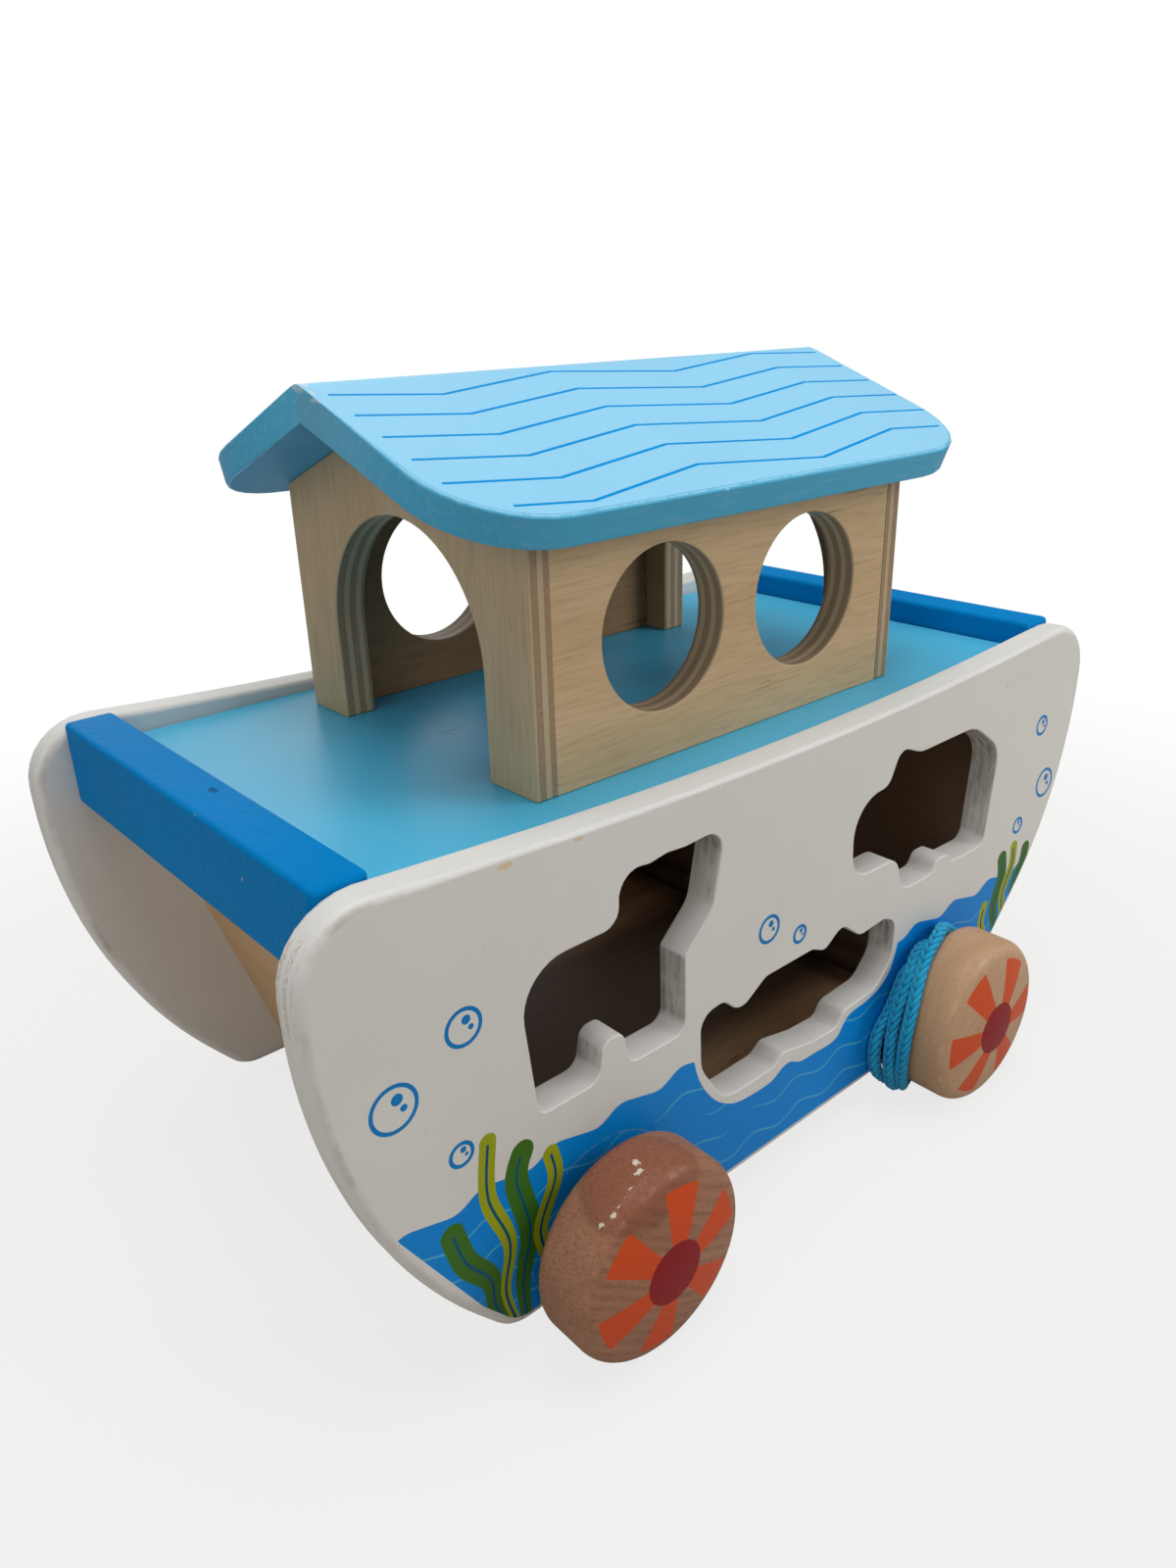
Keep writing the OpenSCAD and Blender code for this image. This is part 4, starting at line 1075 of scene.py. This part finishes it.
def seaPrintPieces():
    sea, rows = seaPrint, waveRows

    def wave(x, height, skew, shift=0.0):
        turn = 2 * math.pi * (x - sea["bandCrest"] - shift) / sea["bandLength"]
        return height * math.cos(turn) - skew * math.sin(2 * turn)

    half, step = rows["half"], rows["step"]
    top = [(x, sea["bandTop"] + wave(x, sea["bandWave"], sea["bandSkew"]))
           for x in [-half + step * k for k in range(int(2 * half / step) + 1)]]
    outlines = [("seaInk", top + [(half, rows["low"]), (-half, rows["low"])])]
    for row, drop in enumerate(sea["lineDrops"]):
        start = -half + rows["shift"] * (row % 3)
        while start < rows["until"]:
            until = start + rows["length"] + rows["more"] * ((row * 7 + int(abs(start))) % 4)
            count = int((until - start) / step) + 1
            level, drift = sea["bandTop"] - drop, rows["drift"] * row
            line = [Vector((x, level + wave(x, sea["lineWave"], rows["skew"], drift)))
                    for x in [start + step * k for k in range(count)]]
            ends = [min(k, count - 1 - k) / count for k in range(count)]
            widths = [sea["lineWide"] * min(1, rows["tip"] + rows["swell"] * end) for end in ends]
            outlines.append(("waveInk", ribbon(line, widths)))
            start = until + sea["lineGap"]
    pieces = [(ink, cutAway(outline, *sea["sternEdge"])) for ink, outline in outlines]
    pieces = [(ink, outline) for ink, outline in pieces if len(outline) > 2]
    pieces.append(("whitePaint", roundLoop(sea["margin"])))
    for points, wide, lime in sea["plants"]:
        line = smoothLine(points, 1.0)
        pieces.append(("limeGrassInk" if lime else "deepGrassInk", frond(line, wide)))
        pieces.append(("ribInk", ribbon(line[2:-1], [sea["ribWide"]] * (len(line) - 3))))
    for x, z, radius in sea["bubbles"]:
        pieces.append(("bubbleInk", disc(x, z, radius)))
        pieces.append(("whitePaint", disc(x, z, radius - sea["ringWide"])))
        for aside, up, share, sides in sea["glints"]:
            pieces.append(("bubbleInk", disc(x + aside * radius, z + up * radius, share * radius, sides)))
    return [(panelSlots.index(ink), [(p[0], p[1] + deckTop) for p in outline]) for ink, outline in pieces]


panelLook = {"railEdge": 1.2, "endEdge": 2.8, "from": (116.0, 110.0), "over": 20.0, "cutEdge": 0.55,
             "boreEdge": 0.3, "smallBore": 200.0}


def makePanels():
    inks = [makeWhitePaint()] + [makeInk(name) for name in panelSlots[1:]]
    pieces = seaPrintPieces()
    look = panelLook
    for node, sign in (("side_panel_near", -1), ("side_panel_far", 1)):
        spot, thick = outerSpot(node, 1, sign)
        loops = faceLoops(node, spot)

        def radiusAt(point, loop):
            if loop == 0:                            # small on the rail, larger round the ends and below
                far = max(abs(point.x) - look["from"][0], look["from"][1] - point.y)
                return look["railEdge"] + (look["endEdge"] - look["railEdge"]) * ease(far / look["over"])
            small = abs(signedArea(loops[loop])) < look["smallBore"]
            return look["boreEdge"] if small else look["cutEdge"]

        made = boardMesh(node + "_board", spot, boardData(loops, thick, radiusAt, pieces), inks)
        settle(made, "hull", "white_paint", node)
        print(node, len(made.data.polygons), "faces")


# Crossbars: rounded bars between the panels
barLook = {"edge": 1.4, "corner": 1.8}


# Rounded rectangle of a box across two axes
def boxLoop(node, first, second, corner):
    low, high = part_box(node)
    u, v = [(low[axis] / mm, high[axis] / mm) for axis in (first, second)]
    return easeCorners([Vector((u[i], v[j])) for i, j in ((0, 0), (1, 0), (1, 1), (0, 1))], corner)


def makeBars():
    paint = makePaint("barPaint")
    for node, sign in (("crossbar_stern", -1), ("crossbar_bow", 1)):
        spot, thick = outerSpot(node, 0, sign)
        data = boardData([boxLoop(node, 1, 2, barLook["corner"])], thick, lambda point, n: barLook["edge"])
        settle(boardMesh(node + "_bar", spot, data, [paint]), "hull", "blue_paint", node)


# Deck board
deckLook = {"edge": 0.7, "corner": 2.0}


def makeDeck():
    low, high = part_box("deck")
    spot = boardSpot((0, 0, high.z), (1, 0, 0), (0, 1, 0), (0, 0, -1))
    data = boardData([boxLoop("deck", 0, 1, deckLook["corner"])], (high.z - low.z) / mm,
                     lambda point, n: deckLook["edge"], backSlot=1)
    made = boardMesh("deckBoard", spot, data, [makePaint("deckPaint"), makePly("endPly")])
    settle(made, "deckhouse", "pale_blue_paint", "deck")


# House walls and gables: bare plywood with eased edges; the gables are rebated for the walls
houseLook = {"edge": 0.45, "corner": 0.5}


def makeHouse():
    gablePly, wallPly = makePly("gablePly"), makePly("wallPly")
    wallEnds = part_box("house_wall_near")

    def radiusAt(point, loop):
        return houseLook["edge"]

    def easedLoops(node, spot, depth=0.0):
        return [easeCorners(loop, houseLook["corner"]) for loop in faceLoops(node, spot, depth)]

    for node, sign in (("gable_stern", -1), ("gable_bow", 1)):
        spot, thick = outerSpot(node, 0, sign)
        step = abs(spot["origin"].x - wallEnds[sign > 0].x) / mm
        outer, inner = easedLoops(node, spot), easedLoops(node, spot, thick)
        data = joinData(boardData(outer, step, radiusAt, whole=thick, shares=(1.0, 0.0)),
                        boardData(inner, thick - step, radiusAt, start=step, whole=thick,
                                  shares=(0.0, 1.0)))
        settle(boardMesh(node + "_board", spot, data, [gablePly]), "deckhouse", "bare_ply", node)
    for node, sign in (("house_wall_near", -1), ("house_wall_far", 1)):
        spot, thick = outerSpot(node, 1, sign)
        data = boardData(easedLoops(node, spot), thick, radiusAt)
        settle(boardMesh(node + "_board", spot, data, [wallPly]), "deckhouse", "bare_ply", node)


# Roof boards: mitred along a sanded ridge, six zigzag lines printed on each
roofLook = {
    "slope": 21.2, "edge": 1.0, "edgeFade": 3.0, "edgeLeast": 0.02, "mitreOver": 8.0,
    "ridgeSand": 1.2, "ridgeRows": (-0.4, -1.0, -1.8, -3.0, -5.0, -8.0),
    "lines": 6, "lineWide": 0.95,
    # knees of the first and the last line, along the roof and down from the ridge
    "firstKnees": [(-85.9, 7.4), (-58.5, 11.7), (-20.6, 4.2), (18.8, 9.7), (57.6, 2.4), (84.8, 5.0)],
    "lastKnees": [(-84.7, 60.5), (-57.2, 64.8), (-18.9, 57.2), (20.9, 62.8), (60.0, 54.6), (86.6, 57.6)],
    "lastStart": -76.0, "lastEnd": 80.0,
}


def zigzags():
    look = roofLook
    made = []
    for row in range(look["lines"]):
        share = row / (look["lines"] - 1)
        line = [Vector((a[0], -a[1])).lerp(Vector((b[0], -b[1])), share)
                for a, b in zip(look["firstKnees"], look["lastKnees"])]
        if row == look["lines"] - 1:                 # the lowest line stops short of the rounded corners
            line[0] = line[0].lerp(line[1], (look["lastStart"] - line[0].x) / (line[1].x - line[0].x))
            line[-1] = line[-2].lerp(line[-1], (look["lastEnd"] - line[-2].x) / (line[-1].x - line[-2].x))
        made.append((1, ribbon(line, [look["lineWide"]] * len(line))))
    return made


def makeRoof():
    look = roofLook
    slope = math.radians(look["slope"])
    sin, cos, tan = math.sin(slope), math.cos(slope), math.tan(slope)
    paints = [makePaint("roofPaint"), makePaint("roofLinePaint"), makePaint("roofEdgePaint")]
    for node, sign in (("roof_near", -1), ("roof_far", 1)):
        low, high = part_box(node)
        spot = boardSpot((0, 0, high.z), (1, 0, 0), (0, -sign * cos, sin), (0, -sign * sin, -cos))
        thick = max(toBoard(spot, v.co).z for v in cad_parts[node].data.vertices)

        def radiusAt(point, loop):
            return look["edge"] * ease(-point.y / look["edgeFade"]) + look["edgeLeast"]

        def bend(c, normal):
            u, v, d = c
            v = v - d * tan * max(0.0, min(1.0, 1 + v / look["mitreOver"]))
            y = v * cos + d * sin
            soft = math.sqrt(y * y + look["ridgeSand"] * look["ridgeSand"])
            sunk = (soft - abs(y)) * tan * max(0.0, 1 - d / thick)
            if normal[2] < -0.5:
                up = Vector((0, tan * y / soft, 1)).normalized()
                normal = (normal[0], up.y * cos + up.z * sin, up.y * sin - up.z * cos)
            return (u, v - sunk * sin, d + sunk * cos), normal

        half = (high.x - low.x) / mm
        rows = [((-half, v), (half, v)) for v in look["ridgeRows"]]
        data = boardData(faceLoops(node, spot), thick, radiusAt, zigzags(), rows, edgeSlot=2, backSlot=2,
                         bend=bend)
        settle(boardMesh(node + "_board", spot, data, paints), "deckhouse", "pale_blue_paint", node)


# Wheels: one turned profile each
def wheelProfile():
    w = wheelSizes
    tall = w["gap"] - w["bossGap"]
    line = [(0, w["seatDeep"]), (w["seat"], w["seatDeep"]), (w["seat"], -tall + w["seatEase"]),
            (w["seat"] + w["seatEase"], -tall), (w["boss"] - w["bossEase"], -tall),
            (w["boss"], -tall + w["bossEase"]), (w["boss"], -w["rootEase"]), (w["boss"] + w["rootEase"], 0)]
    core = w["radius"] - w["innerRound"]
    for k in range(9):
        a = math.radians(90 * k / 8 - 90)
        line.append((core + w["innerRound"] * math.cos(a), w["innerRound"] * (1 + math.sin(a))))

    def faceHeight(reach):
        return w["wide"] - w["dome"] * (reach / w["radius"]) ** 2

    # the outer rounding runs on into the domed face where their slopes are the same
    core = w["radius"] - w["outerRound"]
    last = math.radians(w["meetAngle"])
    meet = core + w["outerRound"] * math.cos(last)
    level = faceHeight(meet) - w["outerRound"] * math.sin(last)
    for k in range(10):
        a = last * k / 9
        line.append((core + w["outerRound"] * math.cos(a), level + w["outerRound"] * math.sin(a)))
    line += [(meet * (1 - k / 8), faceHeight(meet * (1 - k / 8))) for k in range(1, 9)]
    return line


def makeWheels():
    profile = wheelProfile()
    turns = wheelSizes["turns"]
    for node in ("rear_wheel_near", "front_wheel_near", "rear_wheel_far", "front_wheel_far"):
        low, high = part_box(node)
        outward = -1 if node.endswith("near") else 1
        inner = outward * (panelOut + wheelSizes["gap"])
        middle = Vector(((low.x + high.x) / 2, inner * mm, (low.z + high.z) / 2))
        points, rows = [], []
        for r, h in profile:
            rows.append(range(len(points), len(points) + turns) if r > 0 else [len(points)] * turns)
            for k in range(turns if r > 0 else 1):
                a = 2 * math.pi * k / turns
                points.append(middle + Vector((r * math.cos(a), outward * h, r * math.sin(a))) * mm)
        faces = [ring if outward > 0 else ring[::-1] for ring in bands(rows)]
        made = newPiece(node + "_turned", points, faces, [makeWheelWood(node, middle, outward)])
        made.data.set_sharp_from_angle(angle=math.radians(wheelSizes["sharpAngle"]))
        settle(made, node.split("_")[0] + "_wheelset", "turned_wood", node)


# Nodes of the solid model that stay, with their finishes
def dressNodes():
    endPly, floorPly, steel = makePly("endPly"), makePly("floorPly"), makeSteel()
    dowels, shadedAxles = makeDowelWood("dowelWood"), makeDowelWood("shadedAxleWood")
    finishes = {"end_panel_bow": endPly, "end_panel_stern": endPly, "hull_floor": floorPly,
                "crossbar_dowels": dowels, "end_panel_dowels": dowels, "floor_dowels": dowels,
                "house_dowels": dowels, "roof_pins": dowels, "front_axle": shadedAxles, "rear_axle": shadedAxles,
                "deck_screws": steel}
    for node, material in finishes.items():
        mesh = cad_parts[node].data
        mesh.materials.clear()
        mesh.materials.append(material)


# Pale floor, white surroundings and soft lamps
stageLook = {
    "floor": 6.0, "aim": (0, 0, 0.1), "floorColour": (0.53, 0.50, 0.46), "clearFrom": 0.20, "clearTo": 0.50,
    "clearLeast": 0.78, "world": 0.22, "lamps": [
        {"name": "top", "spot": (-0.05, -0.14, 1.2), "size": 0.7, "power": 7.0},
        {"name": "right", "spot": (0.55, -0.65, 0.5), "size": 0.5, "power": 2.85},
        {"name": "left", "spot": (-0.85, -0.2, 0.45), "size": 0.6, "power": 1.4},
        {"name": "back", "spot": (0.15, 0.9, 0.5), "size": 0.9, "power": 2.4},
    ],
}


def makeFloor():
    half = stageLook["floor"] / 2
    floor = newPiece("floor", [(-half, -half, 0), (half, -half, 0), (half, half, 0), (-half, half, 0)],
                     [(0, 1, 2, 3)])
    n = startMaterial("paleFloor", 0.9, 0.1)
    place = n.place()
    pale = stageLook["floorColour"]
    n.shade({"Base Color": n.mix(tuple(v - 0.01 for v in pale), pale, n.noise(place, 30.0))})
    glow = n.put("Emission", {"Color": (1, 1, 1, 1), "Strength": 1.0}).outputs[0]
    clear = n.span(n.length(place), stageLook["clearFrom"], stageLook["clearTo"], stageLook["clearLeast"])
    shader = n.tree.nodes["Principled BSDF"].outputs[0]
    mixed = n.put("MixShader", {0: n.times(clear, n.seen()), 1: shader, 2: glow}).outputs[0]
    n.feed(n.tree.nodes["Material Output"].inputs["Surface"], mixed)
    floor.data.materials.append(n.made)


def makeWorld():
    world = bpy.data.worlds.new("studio")
    world.use_nodes = True
    scene.world = world
    n = Nodes(world.node_tree)
    soft = n.tree.nodes["Background"]
    soft.inputs["Strength"].default_value = stageLook["world"]
    soft.inputs["Color"].default_value = (1, 1, 1, 1)
    white = n.put("Background", {"Color": (1, 1, 1, 1), "Strength": 1.0})
    mixed = n.put("MixShader", {0: n.seen(), 1: soft.outputs[0], 2: white.outputs[0]}).outputs[0]
    n.feed(n.tree.nodes["World Output"].inputs["Surface"], mixed)


def makeLamps():
    for lamp in stageLook["lamps"]:
        data = bpy.data.lights.new(lamp["name"], "AREA")
        data.size = lamp["size"]
        data.energy = lamp["power"]
        made = bpy.data.objects.new(lamp["name"], data)
        made.location = lamp["spot"]
        aim = Vector(stageLook["aim"]) - made.location
        made.rotation_euler = aim.to_track_quat("-Z", "Y").to_euler()
        scene.collection.objects.link(made)


stages = [("cord", makeCord), ("panels", makePanels), ("crossbars", makeBars), ("deck", makeDeck),
          ("house", makeHouse), ("roof", makeRoof), ("wheels", makeWheels), ("kept nodes", dressNodes),
          ("floor", makeFloor), ("world", makeWorld), ("lamps", makeLamps)]
for label, make in stages:
    make()
    print(label, "done")
